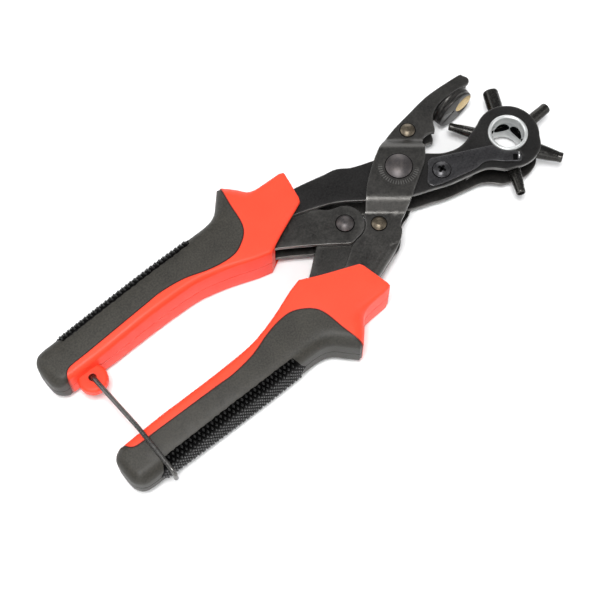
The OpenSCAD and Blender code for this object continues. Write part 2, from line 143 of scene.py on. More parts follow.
class Paint:
    """A material's node tree, built around one Principled shader."""

    def __init__(self, name, **values):
        self.material = bpy.data.materials.new(name)
        self.material.use_nodes = True
        self.nodes = self.material.node_tree.nodes
        self.shader = self.nodes["Principled BSDF"]
        self.place = self.nodes.new("ShaderNodeTexCoord").outputs["Object"]
        for socket, value in values.items():
            self.shader.inputs[socket.replace("_", " ")].default_value = value

    def link(self, source, target):
        self.material.node_tree.links.new(source, target)

    def put(self, target, value):
        """Links an output, or sets a plain value."""
        if isinstance(value, bpy.types.NodeSocket):
            self.link(value, target)
        else:
            target.default_value = value

    def noise(self, size, detail=3.0, stretch=(1, 1, 1)):
        """Noise whose spots are about size millimetres across."""
        mapping = self.nodes.new("ShaderNodeMapping")
        mapping.inputs["Scale"].default_value = stretch
        self.link(self.place, mapping.inputs["Vector"])
        node = self.nodes.new("ShaderNodeTexNoise")
        node.inputs["Scale"].default_value = 1 / (size * MM)
        node.inputs["Detail"].default_value = detail
        node.inputs["Roughness"].default_value = NOISE_ROUGHNESS
        self.link(mapping.outputs["Vector"], node.inputs["Vector"])
        return node.outputs["Fac"]

    def cells(self, size):
        node = self.nodes.new("ShaderNodeTexVoronoi")
        node.inputs["Scale"].default_value = 1 / (size * MM)
        self.link(self.place, node.inputs["Vector"])
        return node.outputs["Distance"]

    def attribute(self, name):
        node = self.nodes.new("ShaderNodeAttribute")
        node.attribute_name = name
        return node.outputs["Fac"]

    def math(self, operation, a, b=0.0, clamp=True):
        node = self.nodes.new("ShaderNodeMath")
        node.operation = operation
        node.use_clamp = clamp
        self.put(node.inputs[0], a)
        self.put(node.inputs[1], b)
        return node.outputs[0]

    def free(self, operation, a, b=0.0):
        """Maths whose result may leave 0 to 1."""
        return self.math(operation, a, b, clamp=False)

    def times(self, a, b):
        return self.math("MULTIPLY", a, b)

    def blend(self, a, b, share_of_a):
        return self.math("ADD", self.times(a, share_of_a), self.times(b, 1 - share_of_a))

    def spread(self, value, low, high, to_low=0.0, to_high=1.0):
        """Stretches value from low..high to to_low..to_high."""
        node = self.nodes.new("ShaderNodeMapRange")
        for socket, number in zip(node.inputs[1:5], (low, high, to_low, to_high)):
            socket.default_value = number
        self.link(value, node.inputs["Value"])
        return node.outputs["Result"]

    def mix(self, share, a, b):
        node = self.nodes.new("ShaderNodeMix")
        node.data_type = "RGBA"
        self.put(node.inputs["Factor"], share)
        self.put(node.inputs["A"], (*a, 1) if isinstance(a, tuple) else a)
        self.put(node.inputs["B"], (*b, 1) if isinstance(b, tuple) else b)
        return node.outputs["Result"]

    def bump(self, height, depth):
        """Bump whose full height is depth millimetres."""
        node = self.nodes.new("ShaderNodeBump")
        node.inputs["Strength"].default_value = 1.0
        node.inputs["Distance"].default_value = depth * MM
        self.link(height, node.inputs["Height"])
        self.link(node.outputs["Normal"], self.shader.inputs["Normal"])

    def colour(self, value):
        self.put(self.shader.inputs["Base Color"], value)

    def roughness(self, value):
        self.put(self.shader.inputs["Roughness"], value)

    def specular(self, value):
        self.put(self.shader.inputs["Specular IOR Level"], value)


def floor_paint():
    paint = Paint("floor", Specular_IOR_Level=0.2)
    grain = paint.noise(4)
    paint.colour(paint.mix(grain, grey(0.9), grey(0.94)))
    paint.roughness(paint.spread(grain, 0, 1, 0.75, 0.9))
    return paint.material


# Black of the painted shade in the hub's hollows.
SHADE_BLACK = (0.004, 0.004, 0.004)
MARK_WEAR, MARK_DEPTH = 0.16, 6
MOTTLE_SIZE, PATCH_SIZE, SPECK_SHARE = 11, 6, 0.3
ROUGH_SPREAD, EDGE_POLISH = 0.07, 0.12
# Painted shade: how fast it fades in past inside_r, and its specular.
SHADE_FADE, SHADE_SPECULAR = 0.05, 0.05


def metal(name, dark, light, bare, rough, wear_amount=0.28, metallic=0.85, grain=0.8, depth=0.015,
          stretch=(1, 1, 1), marks=None, inside_r=None):
    """Metal with a mottled finish, fine grain, and edges rubbed towards a bare colour. marks adds
    a stamped pattern. Past inside_r from the turret's axis the metal is painted black as shade."""
    paint = Paint(name, Metallic=metallic)
    mottle = paint.spread(paint.noise(MOTTLE_SIZE, 5, stretch), 0.35, 0.65)
    fine = paint.noise(grain, 4, stretch)
    speck = paint.spread(fine, 0.35, 0.7)
    finish = paint.mix(paint.blend(mottle, speck, SPECK_SHARE), dark, light)
    patchy = paint.spread(paint.noise(PATCH_SIZE, 4), 0.35, 0.65, 0.35, 1)
    edge = paint.times(paint.times(paint.attribute("wear_and_shade"), patchy), wear_amount)
    height = fine
    if marks:
        cut_in = marks(paint)
        edge = paint.math("MAXIMUM", edge, paint.times(cut_in, MARK_WEAR))
        height = paint.free("SUBTRACT", fine, paint.times(cut_in, MARK_DEPTH))
    finish = paint.mix(edge, finish, bare)
    # Painted shade: past inside_r the colour fades to black and the shine goes.
    if inside_r:
        beyond = paint.spread(radius_from(paint, PIVOT + TURRET)[0], inside_r * MM,
                              (inside_r + SHADE_FADE) * MM)
        finish = paint.mix(beyond, finish, SHADE_BLACK)
        paint.put(paint.shader.inputs["Metallic"], paint.spread(beyond, 0, 1, metallic, 0))
        paint.specular(paint.spread(beyond, 0, 1, 0.5, SHADE_SPECULAR))
    paint.colour(finish)
    smear = paint.free("ADD", paint.spread(mottle, 0, 1, -0.04, 0.05),
                       paint.spread(fine, 0.3, 0.7, rough - ROUGH_SPREAD, rough + ROUGH_SPREAD))
    paint.roughness(paint.free("SUBTRACT", smear, paint.times(edge, EDGE_POLISH)))
    paint.bump(height, depth)
    return paint.material


def radius_from(paint, centre):
    """Distance from an upright axis, and the X and Y measured from it."""
    centred = paint.nodes.new("ShaderNodeVectorMath")
    centred.operation = "SUBTRACT"
    paint.link(paint.place, centred.inputs[0])
    centred.inputs[1].default_value = tuple(centre * MM)
    parts = paint.nodes.new("ShaderNodeSeparateXYZ")
    paint.link(centred.outputs[0], parts.inputs[0])
    x, y = parts.outputs["X"], parts.outputs["Y"]
    squared = paint.free("ADD", paint.free("MULTIPLY", x, x), paint.free("MULTIPLY", y, y))
    return paint.math("SQRT", squared), x, y


TICKS = 46
TICK_RADII = (7.2, 9.3)
TICK_MIDDLE = math.radians(225)
TICK_SOFT, TICK_FADE = 0.25, 0.3


def tick_marks(paint):
    """Plain radial ticks round half of the main pivot."""
    radius, x, y = radius_from(paint, PIVOT)
    angle = paint.free("ARCTAN2", y, x)
    wave = paint.free("SINE", paint.free("MULTIPLY", angle, float(TICKS)))
    facing = paint.free("ADD", paint.free("MULTIPLY", x, math.cos(TICK_MIDDLE)),
                        paint.free("MULTIPLY", y, math.sin(TICK_MIDDLE)))
    inner, outer, soft = TICK_RADII[0] * MM, TICK_RADII[1] * MM, TICK_SOFT * MM
    mask = paint.times(paint.spread(wave, 0.15, 0.65), paint.spread(radius, inner, inner + soft))
    mask = paint.times(mask, paint.spread(radius, outer, outer - soft))
    return paint.times(mask, paint.spread(facing, 0.0, TICK_FADE * MM))


def rubbed(name, dark, bronze, rough):
    """Blackened dome, rubbed through to bare metal in soft patches."""
    paint = Paint(name, Metallic=0.9)
    patch = paint.spread(paint.noise(3.2, 4), 0.4, 0.62)
    scratch = paint.spread(paint.noise(0.6, 4), 0.35, 0.65)
    paint.colour(paint.mix(paint.blend(patch, scratch, 0.4), dark, bronze))
    paint.roughness(paint.spread(scratch, 0, 1, rough, rough + 0.14))
    paint.bump(paint.noise(0.7, 3), 0.018)
    return paint.material


def moulded(name, face, shade, grime, rough, grain, depth, specular=0.5):
    """Moulded plastic or rubber with a fine spark texture and faint clouds of colour, and painted
    shade in its seams and grooves."""
    paint = Paint(name, Specular_IOR_Level=specular)
    cloud = paint.spread(paint.noise(14, 4), 0.3, 0.7)
    fine = paint.noise(grain, 3)
    colour = paint.mix(paint.blend(cloud, paint.spread(fine, 0.35, 0.65), 0.4), shade, face)
    light = tuple(min(1.0, 1.25 * c + 0.01) for c in face)
    speck = paint.spread(paint.cells(1.9), 0.02, 0.1, 1, 0)
    dust = paint.times(speck, paint.spread(paint.noise(6, 2), 0.55, 0.75, 0, 0.35))
    colour = paint.mix(dust, colour, light)
    # Painted shade: darker along the seams, in the parting groove and round the lug's bore.
    seam = paint.times(paint.attribute("wear_and_shade"), paint.spread(fine, 0.3, 0.6, 0.7, 0.95))
    paint.colour(paint.mix(seam, colour, grime))
    paint.roughness(paint.free("ADD", paint.spread(fine, 0.3, 0.7, rough - 0.05, rough + 0.05),
                               paint.spread(cloud, 0, 1, -0.03, 0.04)))
    paint.bump(fine, depth)
    return paint.material


def grey(level):
    return (level, level, level)


def shade_black(name):
    """Black without shine: painted shade, for the rings round heads and the insides of recesses."""
    paint = Paint(name)
    grain = paint.noise(0.5, 3)
    paint.specular(0.02)
    paint.colour(paint.mix(grain, grey(0.0015), grey(0.005)))
    paint.roughness(paint.spread(grain, 0, 1, 0.6, 0.8))
    return paint.material


def studded(name, gap, face):
    """Rubber whose studs shine a little over gaps painted black and dull as shade."""
    paint = Paint(name)
    stud_top = paint.attribute("wear_and_shade")
    fine = paint.noise(0.5, 3)
    # Painted shade: the gaps between studs are black, with almost no shine.
    paint.colour(paint.mix(stud_top, gap, face))
    paint.specular(paint.spread(stud_top, 0, 1, 0.02, 0.55))
    paint.roughness(paint.spread(fine, 0.3, 0.7, 0.22, 0.36))
    paint.bump(fine, 0.01)
    return paint.material


def make_materials():
    """Every material. The three colours of a metal are its dark, its light and its bare steel."""
    black, brown_black, bare = (0.038, 0.037, 0.035), (0.066, 0.063, 0.059), (0.5, 0.49, 0.47)
    zinc = dict(dark=(0.46, 0.475, 0.47), light=(0.54, 0.555, 0.55), bare=(0.9, 0.9, 0.88),
                rough=0.36, metallic=0.6, grain=1.4, depth=0.002)
    made = [
        metal("blackened_steel", black, brown_black, bare, 0.38),
        # Painted shade: the blackened steel made darker for the front turret plate, where the head catches less
        # light.
        metal("shaded_steel", (0.022, 0.021, 0.021), (0.036, 0.035, 0.034), bare, 0.38),
        metal("stamped_steel", black, brown_black, bare, 0.38, marks=tick_marks),
        metal("turned_steel", (0.10, 0.092, 0.08), (0.20, 0.18, 0.15), (0.4, 0.38, 0.34), 0.36,
              stretch=(1, 1, 6)),
        rubbed("worn_rivet", (0.075, 0.062, 0.046), (0.15, 0.125, 0.092), 0.34),
        rubbed("dark_rivet", (0.062, 0.058, 0.060), (0.105, 0.093, 0.090), 0.4),
        metal("anvil_steel", (0.022, 0.021, 0.021), (0.055, 0.052, 0.048), (0.3, 0.29, 0.27), 0.36),
        metal("brass_pad", (0.50, 0.33, 0.10), (0.80, 0.60, 0.26), (0.95, 0.8, 0.5), 0.3,
              grain=0.6, stretch=(1, 1, 3)),
        # In each moulded material the fourth colour is its painted shade in seams and grooves.
        moulded("red_plastic", (0.87, 0.060, 0.024), (0.81, 0.050, 0.021), (0.10, 0.012, 0.008),
                0.45, 0.6, 0.02, 0.28),
        moulded("black_rubber", (0.042, 0.0385, 0.031), (0.016, 0.015, 0.0125), grey(0.003),
                0.5, 0.8, 0.08, 0.3),
        # The first colour is black painted shade for the gaps between studs.
        studded("textured_rubber", grey(0.0012), (0.011, 0.011, 0.0105)),
        metal("zinc_steel", **zinc, wear_amount=0.35),
        # The hub turns black past its bore: painted shade in its hollows between the plates.
        metal("hub_steel", **zinc, inside_r=BORE_R + 0.12),
        metal("tube_steel", (0.018, 0.0175, 0.0165), (0.050, 0.048, 0.044), (0.42, 0.40, 0.37),
              0.27, wear_amount=0.08),
        metal("bright_steel", grey(0.3), grey(0.5), grey(0.7), 0.27, grain=1.2, metallic=1.0),
        metal("index_steel", (0.035, 0.034, 0.036), (0.065, 0.064, 0.067), grey(0.5), 0.36,
              wear_amount=0.22),
        # Black for painted shade.
        shade_black("recess_black"),
        metal("spring_steel", (0.10, 0.078, 0.055), (0.24, 0.20, 0.155), (0.5, 0.48, 0.45), 0.35,
              stretch=(1, 1, 4)),
        metal("wire_steel", (0.035, 0.034, 0.033), (0.085, 0.082, 0.078), (0.45, 0.44, 0.42), 0.3,
              wear_amount=0.35),
    ]
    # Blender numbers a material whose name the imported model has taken.
    return {material.name.split(".")[0]: material for material in made}


# ---- Meshes ----

def mesh_of(name, points, faces):
    mesh = bpy.data.meshes.new(name)
    mesh.from_pydata([tuple(p) for p in (np.asarray(points) + PIVOT) * MM], [], faces)
    return mesh


def piece(name, shape, body, slot, replaces=(), sharp=None, paint=None):
    """Makes an object of a shape, (points, faces, wear), in millimetres from the main pivot.
    Its material is its slot's own, unless paint names another."""
    points, faces, wear_and_shade = shape
    mesh = mesh_of(name, points, faces)
    # The point attribute holds rubbed wear on metal, and painted shade on the grips and on the strip's studs.
    if wear_and_shade is not None:
        mesh.attributes.new("wear_and_shade", "FLOAT", "POINT").data.foreach_set(
            "value", np.asarray(wear_and_shade, np.float32))
    mesh.polygons.foreach_set("use_smooth", [True] * len(mesh.polygons))
    if sharp is not None:
        mesh.set_sharp_from_angle(angle=math.radians(sharp))
    mesh.update()
    mesh.materials.append(MATERIALS[paint or slot])
    obj = add_object(name, mesh)
    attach(obj, body)
    if replaces:
        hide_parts(*replaces)
    return obj


def shade_piece(name, shape, body="turret_jaw", slot="index_steel", sharp=None):
    """Dull black piece of painted shade: a shadow ring round a head, or the dark inside of a recess."""
    piece(name, shape, body, slot, sharp=sharp, paint="recess_black")


def joined(*shapes):
    """Several shapes as one."""
    points, faces, wear_and_shade, start = [], [], [], 0
    for p, f, w in shapes:
        points.append(np.asarray(p))
        faces += [tuple(i + start for i in face) for face in f]
        wear_and_shade.append(np.zeros(len(p)) if w is None else np.asarray(w))
        start += len(p)
    return np.concatenate(points), faces, np.concatenate(wear_and_shade)


def mirrored(shape, signs):
    """The same shape with some of its axes turned round, its faces still outward."""
    points, faces, wear_and_shade = shape
    return np.asarray(points) * signs, [tuple(reversed(f)) for f in faces], wear_and_shade


def cut(obj, cutter):
    """Cuts another shape out of an object's mesh."""
    points, faces, _ = cutter
    tool = add_object("cutter", mesh_of("cutter", points, faces))
    modifier = obj.modifiers.new("cut", "BOOLEAN")
    modifier.object = tool
    modifier.operation = "DIFFERENCE"
    modifier.solver = "EXACT"
    depsgraph = bpy.context.evaluated_depsgraph_get()
    made = bpy.data.meshes.new_from_object(obj.evaluated_get(depsgraph))
    obj.modifiers.clear()
    obj.data = made
    bpy.data.objects.remove(tool)


def rectangle(at, way, half_long, half_wide):
    """Corners of a rectangle round a place, counter-clockwise, with its length along way."""
    long, wide = np.array(way), np.array([-way[1], way[0]])
    return [at + a * half_long * long + b * half_wide * wide for a, b in CORNERS]


def box_shape(outline, low, high, foot=None):
    """Prism over a counter-clockwise outline. foot is its outline at the low end, if another."""
    n = len(outline)
    points = [(x, y, low) for x, y in (outline if foot is None else foot)]
    points += [(x, y, high) for x, y in outline]
    faces = [tuple(reversed(range(n))), tuple(range(n, 2 * n))]
    faces += [(i, (i + 1) % n, n + (i + 1) % n, n + i) for i in range(n)]
    return np.array(points, float), faces, None


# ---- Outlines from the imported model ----

def cad_points(node):
    return np.array([v.co for v in frame["nodes"][node].data.vertices]) / MM - PIVOT


FACES_UP = 0.3


def top_loops(node, lowest):
    """Outlines of the surfaces of a CAD node that face up above a height, seen from above.
    The outer one comes first and runs counter-clockwise, and the holes run clockwise."""
    index, ids = {}, []
    for p in cad_points(node):
        ids.append(index.setdefault(tuple(np.round(p, 3)), len(index)))
    place = np.array(sorted(index, key=index.get))
    edges = set()
    for polygon in frame["nodes"][node].data.polygons:
        a, b, c = (place[ids[i]] for i in polygon.vertices)
        normal = np.cross(b - a, c - a)
        length = np.linalg.norm(normal)
        if length < 1e-9 or normal[2] < FACES_UP * length or (a + b + c)[2] / 3 < lowest:
            continue
        corners = [ids[i] for i in polygon.vertices]
        edges.update(zip(corners, corners[1:] + corners[:1]))
    follow = {a: b for a, b in edges if (b, a) not in edges}
    loops = []
    while follow:
        start, at = follow.popitem()
        loop = [start]
        while at != start:
            loop.append(at)
            at = follow.pop(at)
        loops.append(place[loop][:, :2])
    return sorted(loops, key=lambda loop: -abs(area(loop)))


def area(loop):
    x, y = loop[:, 0], loop[:, 1]
    return 0.5 * float(np.sum(x * np.roll(y, -1) - np.roll(x, -1) * y))


def smooth_line(points, spacing):
    """A smooth curve through the points, with equal steps of about spacing."""
    p = np.asarray(points, float)
    step = np.linalg.norm(np.diff(p, axis=0), axis=1)
    if len(p) == 2:
        count = max(1, round(step[0] / spacing))
        return p[0] + (p[1] - p[0]) * np.linspace(0, 1, count + 1)[:, None]
    slope = np.diff(p, axis=0) / step[:, None]
    tangent = np.empty_like(p)
    near, far = step[:-1, None], step[1:, None]
    tangent[1:-1] = (slope[:-1] * far + slope[1:] * near) / (near + far)
    tangent[0], tangent[-1] = slope[0], slope[-1]
    fine, t = [], np.linspace(0, 1, 9)[:-1, None]
    for i, length in enumerate(step):
        a = (1 + 2 * t) * (1 - t) ** 2 * p[i] + t * (1 - t) ** 2 * length * tangent[i]
        b = t * t * (3 - 2 * t) * p[i + 1] - t * t * (1 - t) * length * tangent[i + 1]
        fine.append(a + b)
    fine = np.concatenate([*fine, p[-1:]])
    along = np.concatenate([[0], np.cumsum(np.linalg.norm(np.diff(fine, axis=0), axis=1))])
    wanted = np.linspace(0, along[-1], max(2, round(along[-1] / spacing) + 1))
    return np.stack([np.interp(wanted, along, fine[:, k]) for k in range(p.shape[1])], axis=1)


SHARP_TURN = math.radians(32)
SHORTEST, LEAST_STEPS = 0.03, 40


def smooth_loop(loop, spacing):
    """A closed outline made smooth, except at sharp corners."""
    step = np.linalg.norm(loop - np.roll(loop, 1, axis=0), axis=1)
    spacing = min(spacing, step.sum() / LEAST_STEPS)
    loop = loop[step > SHORTEST]
    before, after = loop - np.roll(loop, 1, axis=0), np.roll(loop, -1, axis=0) - loop
    turn = np.arctan2(before[:, 0] * after[:, 1] - before[:, 1] * after[:, 0],
                      (before * after).sum(1))
    corners = np.flatnonzero(abs(turn) > SHARP_TURN)
    if len(corners) == 0:
        wrapped = np.concatenate([loop[-3:], loop, loop[:4]])
        line = smooth_line(wrapped, spacing)
        start = np.argmin(np.linalg.norm(line - loop[0], axis=1)[: len(line) // 2])
        end = len(line) // 2 + np.argmin(np.linalg.norm(line - loop[0], axis=1)[len(line) // 2:])
        return line[start:end]
    loop = np.roll(loop, -corners[0], axis=0)
    corners = list(corners - corners[0]) + [len(loop)]
    closed = np.concatenate([loop, loop[:1]])
    runs = [smooth_line(closed[a:b + 1], spacing)[:-1] for a, b in zip(corners, corners[1:])]
    return np.concatenate(runs)


# ---- Relief solids ----

SLIVER, MERGED = 2e-4, 1e-4
NEAREST_CHUNK, ROWS_CHUNK = 2000, 500
RING_STEP, RING_KEPT = 1.2, 0.94
LEAST_COSINE = 0.7
GRID_CLEAR, ROW_CLEAR = 0.3, 0.55
EDGE_WEAR, WALL_WEAR = 0.3, 0.3


def segments_of(loops):
    """Start and end points of every edge of closed loops."""
    return (np.concatenate(loops), np.concatenate([np.roll(loop, -1, axis=0) for loop in loops]))


def nearest(points, segments):
    """Distance to the nearest segment, and the nearest place on it."""
    starts, ends = segments
    along = ends - starts
    length = (along ** 2).sum(1) + TINY
    best, places = [], []
    for chunk in np.array_split(points, max(1, len(points) // NEAREST_CHUNK)):
        reach = chunk[:, None, :] - starts[None]
        t = np.clip((reach * along).sum(2) / length, 0, 1)
        gap = np.linalg.norm(reach - t[..., None] * along, axis=2)
        k = gap.argmin(1)
        row = np.arange(len(chunk))
        best.append(gap[row, k])
        places.append(starts[k] + t[row, k][:, None] * along[k])
    return np.concatenate(best), np.concatenate(places)


def inside(points, loops):
    """True for points inside the outer loop and outside its holes."""
    crossings = np.zeros(len(points), int)
    for loop in loops:
        a, b = loop, np.roll(loop, -1, axis=0)
        rise = np.where(a[:, 1] == b[:, 1], 1, b[:, 1] - a[:, 1])
        y = points[:, 1:2]
        x = a[:, 0] + (y - a[:, 1]) / rise * (b[:, 0] - a[:, 0])
        crossings += (((a[:, 1] > y) != (b[:, 1] > y)) & (points[:, 0:1] < x)).sum(1)
    return crossings % 2 == 1


def unit(rows):
    return rows / (np.linalg.norm(rows, axis=1)[:, None] + TINY)


def inward(loop):
    """Unit directions into the solid at a loop's points, longer where it turns."""
    before, after = unit(loop - np.roll(loop, 1, axis=0)), unit(np.roll(loop, -1, axis=0) - loop)
    middle = unit(before + after)
    lengthen = 1 / np.clip((middle * after).sum(1), LEAST_COSINE, 1)
    return np.stack([-middle[:, 1], middle[:, 0]], axis=1) * lengthen[:, None]


def rolled(depth, radius):
    """How far a rounded edge has dropped, at a distance in from it."""
    left = np.clip(radius - depth, 0, None)
    return radius - np.sqrt(np.clip(radius ** 2 - left ** 2, 0, None))


def scattered(loops, rings, spacing, rows):
    """Points on an outline, at the rings' distances in from it, on rows, and on a grid inside."""
    edge = segments_of(loops)
    points = [np.concatenate(loops)]
    for depth in rings:
        every = max(1, int(depth / RING_STEP))
        for loop in loops:
            moved = (loop + depth * inward(loop))[::every]
            keep = nearest(moved, edge)[0] > RING_KEPT * depth
            points.append(moved[keep & inside(moved, loops)])
    low, high = loops[0].min(0), loops[0].max(0)
    rise = spacing * math.sqrt(3) / 2
    grid = np.array([(x + (j % 2) * spacing / 2, y)
                     for j, y in enumerate(np.arange(low[1], high[1], rise))
                     for x in np.arange(low[0], high[0], spacing)])
    if len(rows):
        clear = np.ones(len(grid), bool)
        for chunk in np.array_split(rows, max(1, len(rows) // ROWS_CHUNK)):
            gap = np.linalg.norm(grid[:, None] - chunk[None], axis=2).min(1)
            clear &= gap > ROW_CLEAR * spacing
        grid = np.concatenate([rows, grid[clear]])
    margin = GRID_CLEAR * (1 if len(rows) else spacing)
    keep = nearest(grid, edge)[0] > rings[-1] + margin
    points.append(grid[keep & inside(grid, loops)])
    return np.concatenate(points)


def triangulated(points, loops):
    """Triangles that fill an outline, and the points that they use. The loops come first."""
    edges, first = [], 0
    for loop in loops:
        n = len(loop)
        edges += [(first + i, first + (i + 1) % n) for i in range(n)]
        first += n
    flat, _, triangles, *_ = delaunay_2d_cdt([Vector(p) for p in points], edges, [], 0, MERGED)
    flat, triangles = np.array(flat), np.array(triangles)
    a, b, c = (flat[triangles[:, k]] for k in range(3))
    doubled = (b - a)[:, 0] * (c - a)[:, 1] - (b - a)[:, 1] * (c - a)[:, 0]
    triangles = triangles[inside((a + b + c) / 3, loops) & (abs(doubled) > SLIVER)]
    used, triangles = np.unique(triangles, return_inverse=True)
    return flat[used], triangles.reshape(-1, 3)


def relief(loops, top, bottom, rings, spacing, rows=(), waist=(), grooved=None):
    """Closed solid between two surfaces over a flat outline with holes.
    top and bottom give the height at each point. rings are distances in from the edge where
    points follow it, and rows are more points. waist is a list of (height, inset) down the wall,
    and grooved says how much of the inset a point takes."""
    flat, triangles = triangulated(scattered(loops, rings, spacing, rows), loops)
    n = len(flat)
    faces = [tuple(t) for t in triangles]
    directed = {(t[i], t[(i + 1) % 3]) for t in faces for i in range(3)}
    rim = {a: b for a, b in directed if (b, a) not in directed}
    order = {a: k for k, a in enumerate(rim)}
    back = {b: a for a, b in rim.items()}
    side = unit(np.array([flat[rim[a]] - flat[back[a]] for a in rim]))
    turn = np.column_stack([-side[:, 1], side[:, 0]])
    corner = flat[list(rim)]
    share = np.ones(len(corner)) if grooved is None else grooved(corner)
    levels = [np.column_stack([corner + turn * inset * share[:, None],
                               np.full(len(corner), height)]) for height, inset in waist]
    solid = [np.column_stack([flat, top(flat)]), np.column_stack([flat, bottom(flat)]), *levels]
    faces += [tuple(n + i for i in reversed(t)) for t in triangles]
    chain = [list(rim)]
    chain += [[2 * n + k * len(rim) + order[a] for a in rim] for k in range(len(waist))]
    chain.append([n + a for a in rim])
    for upper, lower in zip(chain, chain[1:]):
        for a in rim:
            i, j = order[a], order[rim[a]]
            faces.append((upper[i], lower[i], lower[j], upper[j]))
    wear_and_shade = np.exp(-nearest(flat, segments_of(loops))[0] / EDGE_WEAR)
    return (np.concatenate(solid), [tuple(int(i) for i in f) for f in faces],
            np.concatenate([wear_and_shade, wear_and_shade, *[np.full(len(rim), WALL_WEAR)] * len(waist)]))


EDGE_R = 0.28
EDGE_RINGS = (0.03, 0.1, 0.2, EDGE_R, EDGE_R + 0.12)


def flat_plate(loops, low, high, edge_r=EDGE_R, spacing=3.0):
    """Plate with softened edges."""
    edge = segments_of(loops)

    def drop(points):
        return rolled(nearest(points, edge)[0], edge_r)

    return relief(loops, lambda p: high - drop(p), lambda p: low + drop(p), EDGE_RINGS, spacing)


# ---- Turned and swept shapes ----

def circle(at, radius, count=48):
    angle = np.linspace(0, 2 * math.pi, count, endpoint=False)
    return np.array(at[:2]) + radius * np.column_stack([np.cos(angle), np.sin(angle)])


def eased(line, radius, closed=False, steps=4):
    """Rounds the corners of a line by up to radius."""
    p = np.asarray(line, float)
    out = []
    for i, b in enumerate(p):
        if not closed and i in (0, len(p) - 1):
            out.append(b)
            continue
        a, c = p[i - 1], p[(i + 1) % len(p)]
        back, ahead = a - b, c - b
        reach_a, reach_c = np.linalg.norm(back), np.linalg.norm(ahead)
        cut_by = min(radius, 0.48 * reach_a, 0.48 * reach_c)
        start, end = b + back / reach_a * cut_by, b + ahead / reach_c * cut_by
        for t in np.linspace(0, 1, steps + 1):
            out.append((1 - t) ** 2 * start + 2 * t * (1 - t) * b + t * t * end)
    return np.array(out)


SIDES = 64


def turned(profile, at, axis=(0, 0, 1), sides=SIDES, closed=False):
    """Shape turned round an axis, from points (distance along the axis, radius)."""
    axis = np.asarray(axis, float) / np.linalg.norm(axis)
    u = np.array([1.0, 0, 0]) if abs(axis[2]) > 0.9 else np.cross(axis, (0, 0, 1))
    u = u - axis * float(u @ axis)
    u /= np.linalg.norm(u)
    v = np.cross(axis, u)
    angle = np.linspace(0, 2 * math.pi, sides, endpoint=False)
    spokes = np.cos(angle)[:, None] * u + np.sin(angle)[:, None] * v
    points, rings = [], []
    for along, radius in profile:
        count = 1 if radius < 1e-5 else sides
        rings.append([len(points) + i % count for i in range(sides)])
        points += list(np.asarray(at) + axis * along + spokes[:count] * max(radius, 0))
    if closed:
        rings.append(rings[0])
    faces = []
    for low, high in zip(rings, rings[1:]):
        for i in range(sides):
            j = (i + 1) % sides
            face = tuple(dict.fromkeys((low[i], low[j], high[j], high[i])))
            if len(face) > 2:
                faces.append(face)
    return np.array(points), faces, np.zeros(len(points))


def rod(low, high, radius, at, axis, sides):
    """Plain cylinder between two distances along an axis."""
    return turned([(low, 0), (low, radius), (high, radius), (high, 0)], at, axis, sides)


WIRE_WEAR = 0.4
WIRE_END_STEPS = (0.12, 0.4, 0.72)
THIN_WIRE_SIDES = 14


def swept(path, radius, sides):
    """Round wire along a path, with softened ends."""
    p = np.asarray(path, float)
    way = np.gradient(p, axis=0)
    way /= np.linalg.norm(way, axis=1)[:, None]
    u = np.cross(way[0], (0.31, 0.52, 0.8))
    u /= np.linalg.norm(u)
    ends = [(0.5 * radius * (1 - t), radius * math.sqrt(1 - (1 - t) ** 2))
            for t in WIRE_END_STEPS]
    angle = np.linspace(0, 2 * math.pi, sides, endpoint=False)
    points = []
    for i, (point, along) in enumerate(zip(p, way)):
        u = u - along * float(u @ along)
        u /= np.linalg.norm(u)
        v = np.cross(along, u)
        rings = [(0, radius)]
        if i == 0:
            rings = [(-back, size) for back, size in ends] + rings
        if i == len(p) - 1:
            rings += ends[::-1]
        points += [point + along * shift + size * (math.cos(a) * u + math.sin(a) * v)
                   for shift, size in rings for a in angle]
    last = len(points) - sides
    faces = [(k + i, k + (i + 1) % sides, k + sides + (i + 1) % sides, k + sides + i)
             for k in range(0, last, sides) for i in range(sides)]
    faces += [tuple(range(sides - 1, -1, -1)), tuple(range(last, last + sides))]
    return np.array(points), faces, np.full(len(points), WIRE_WEAR)


def varied(value, low, high):
    """Eases from 0 to 1 as value goes from low to high."""
    t = np.clip((value - low) / (high - low), 0, 1)
    return t * t * (3 - 2 * t)


# ---- Steel plates ----

LOW_Z, LOW_TOP = 4.05, 5.9
LEVER_Z, LEVER_TOP = 4.2, 6.05
JAW_Z, JAW_TOP = 6.2, 8.05
HIGH_Z, HIGH_TOP = 8.2, 10.05
INNER_Z = 2.2
PLATE_SPACING, UNDER_TOP = 0.9, 0.1

JOGGLE_AXIS = np.array([math.sin(math.radians(39)), math.cos(math.radians(39))])
JOGGLE_KNOTS = (-20.7, -16.3, 10.6, 15.2)
BEND_AT = (-20.7, -18.5, 12.9, 15.2)
BEND_ROUNDING = (0.9, 2.1, 2.1, 0.9)
SCREW_HOLE_AREA = 12

BEND_ROWS = ((-22.4, -14.4), (8.8, 17.0))
BEND_STEP, BEND_SPREAD = 0.5, 1.6
BEND_REACH = 70

LIP_LINE = np.array([[-21.6, -26.7], [-50.0, -37.7]])
LIP_RADIUS = 4.4
LIP_BOTTOM = 0.5
TAIL_LIP = np.array([[-52.0, 22.3], [-42.9, 21.9], [-31.8, 19.8], [-22.4, 17.2]])
TAIL_RADIUS = 1.6
TAIL_BOTTOM = 0.3
LIP_T = 1.85
LIP_FADE = 6.0
LIP_BESIDE = (0.7, 1.6)
FOLD_FROM, FOLD_TO = LIP_T - 0.1, LIP_T + 0.3
LIP_RINGS, LIP_SPACING = (0.8, 1.3, FOLD_FROM, FOLD_TO, 2.8, 3.5, LIP_RADIUS), 2.0


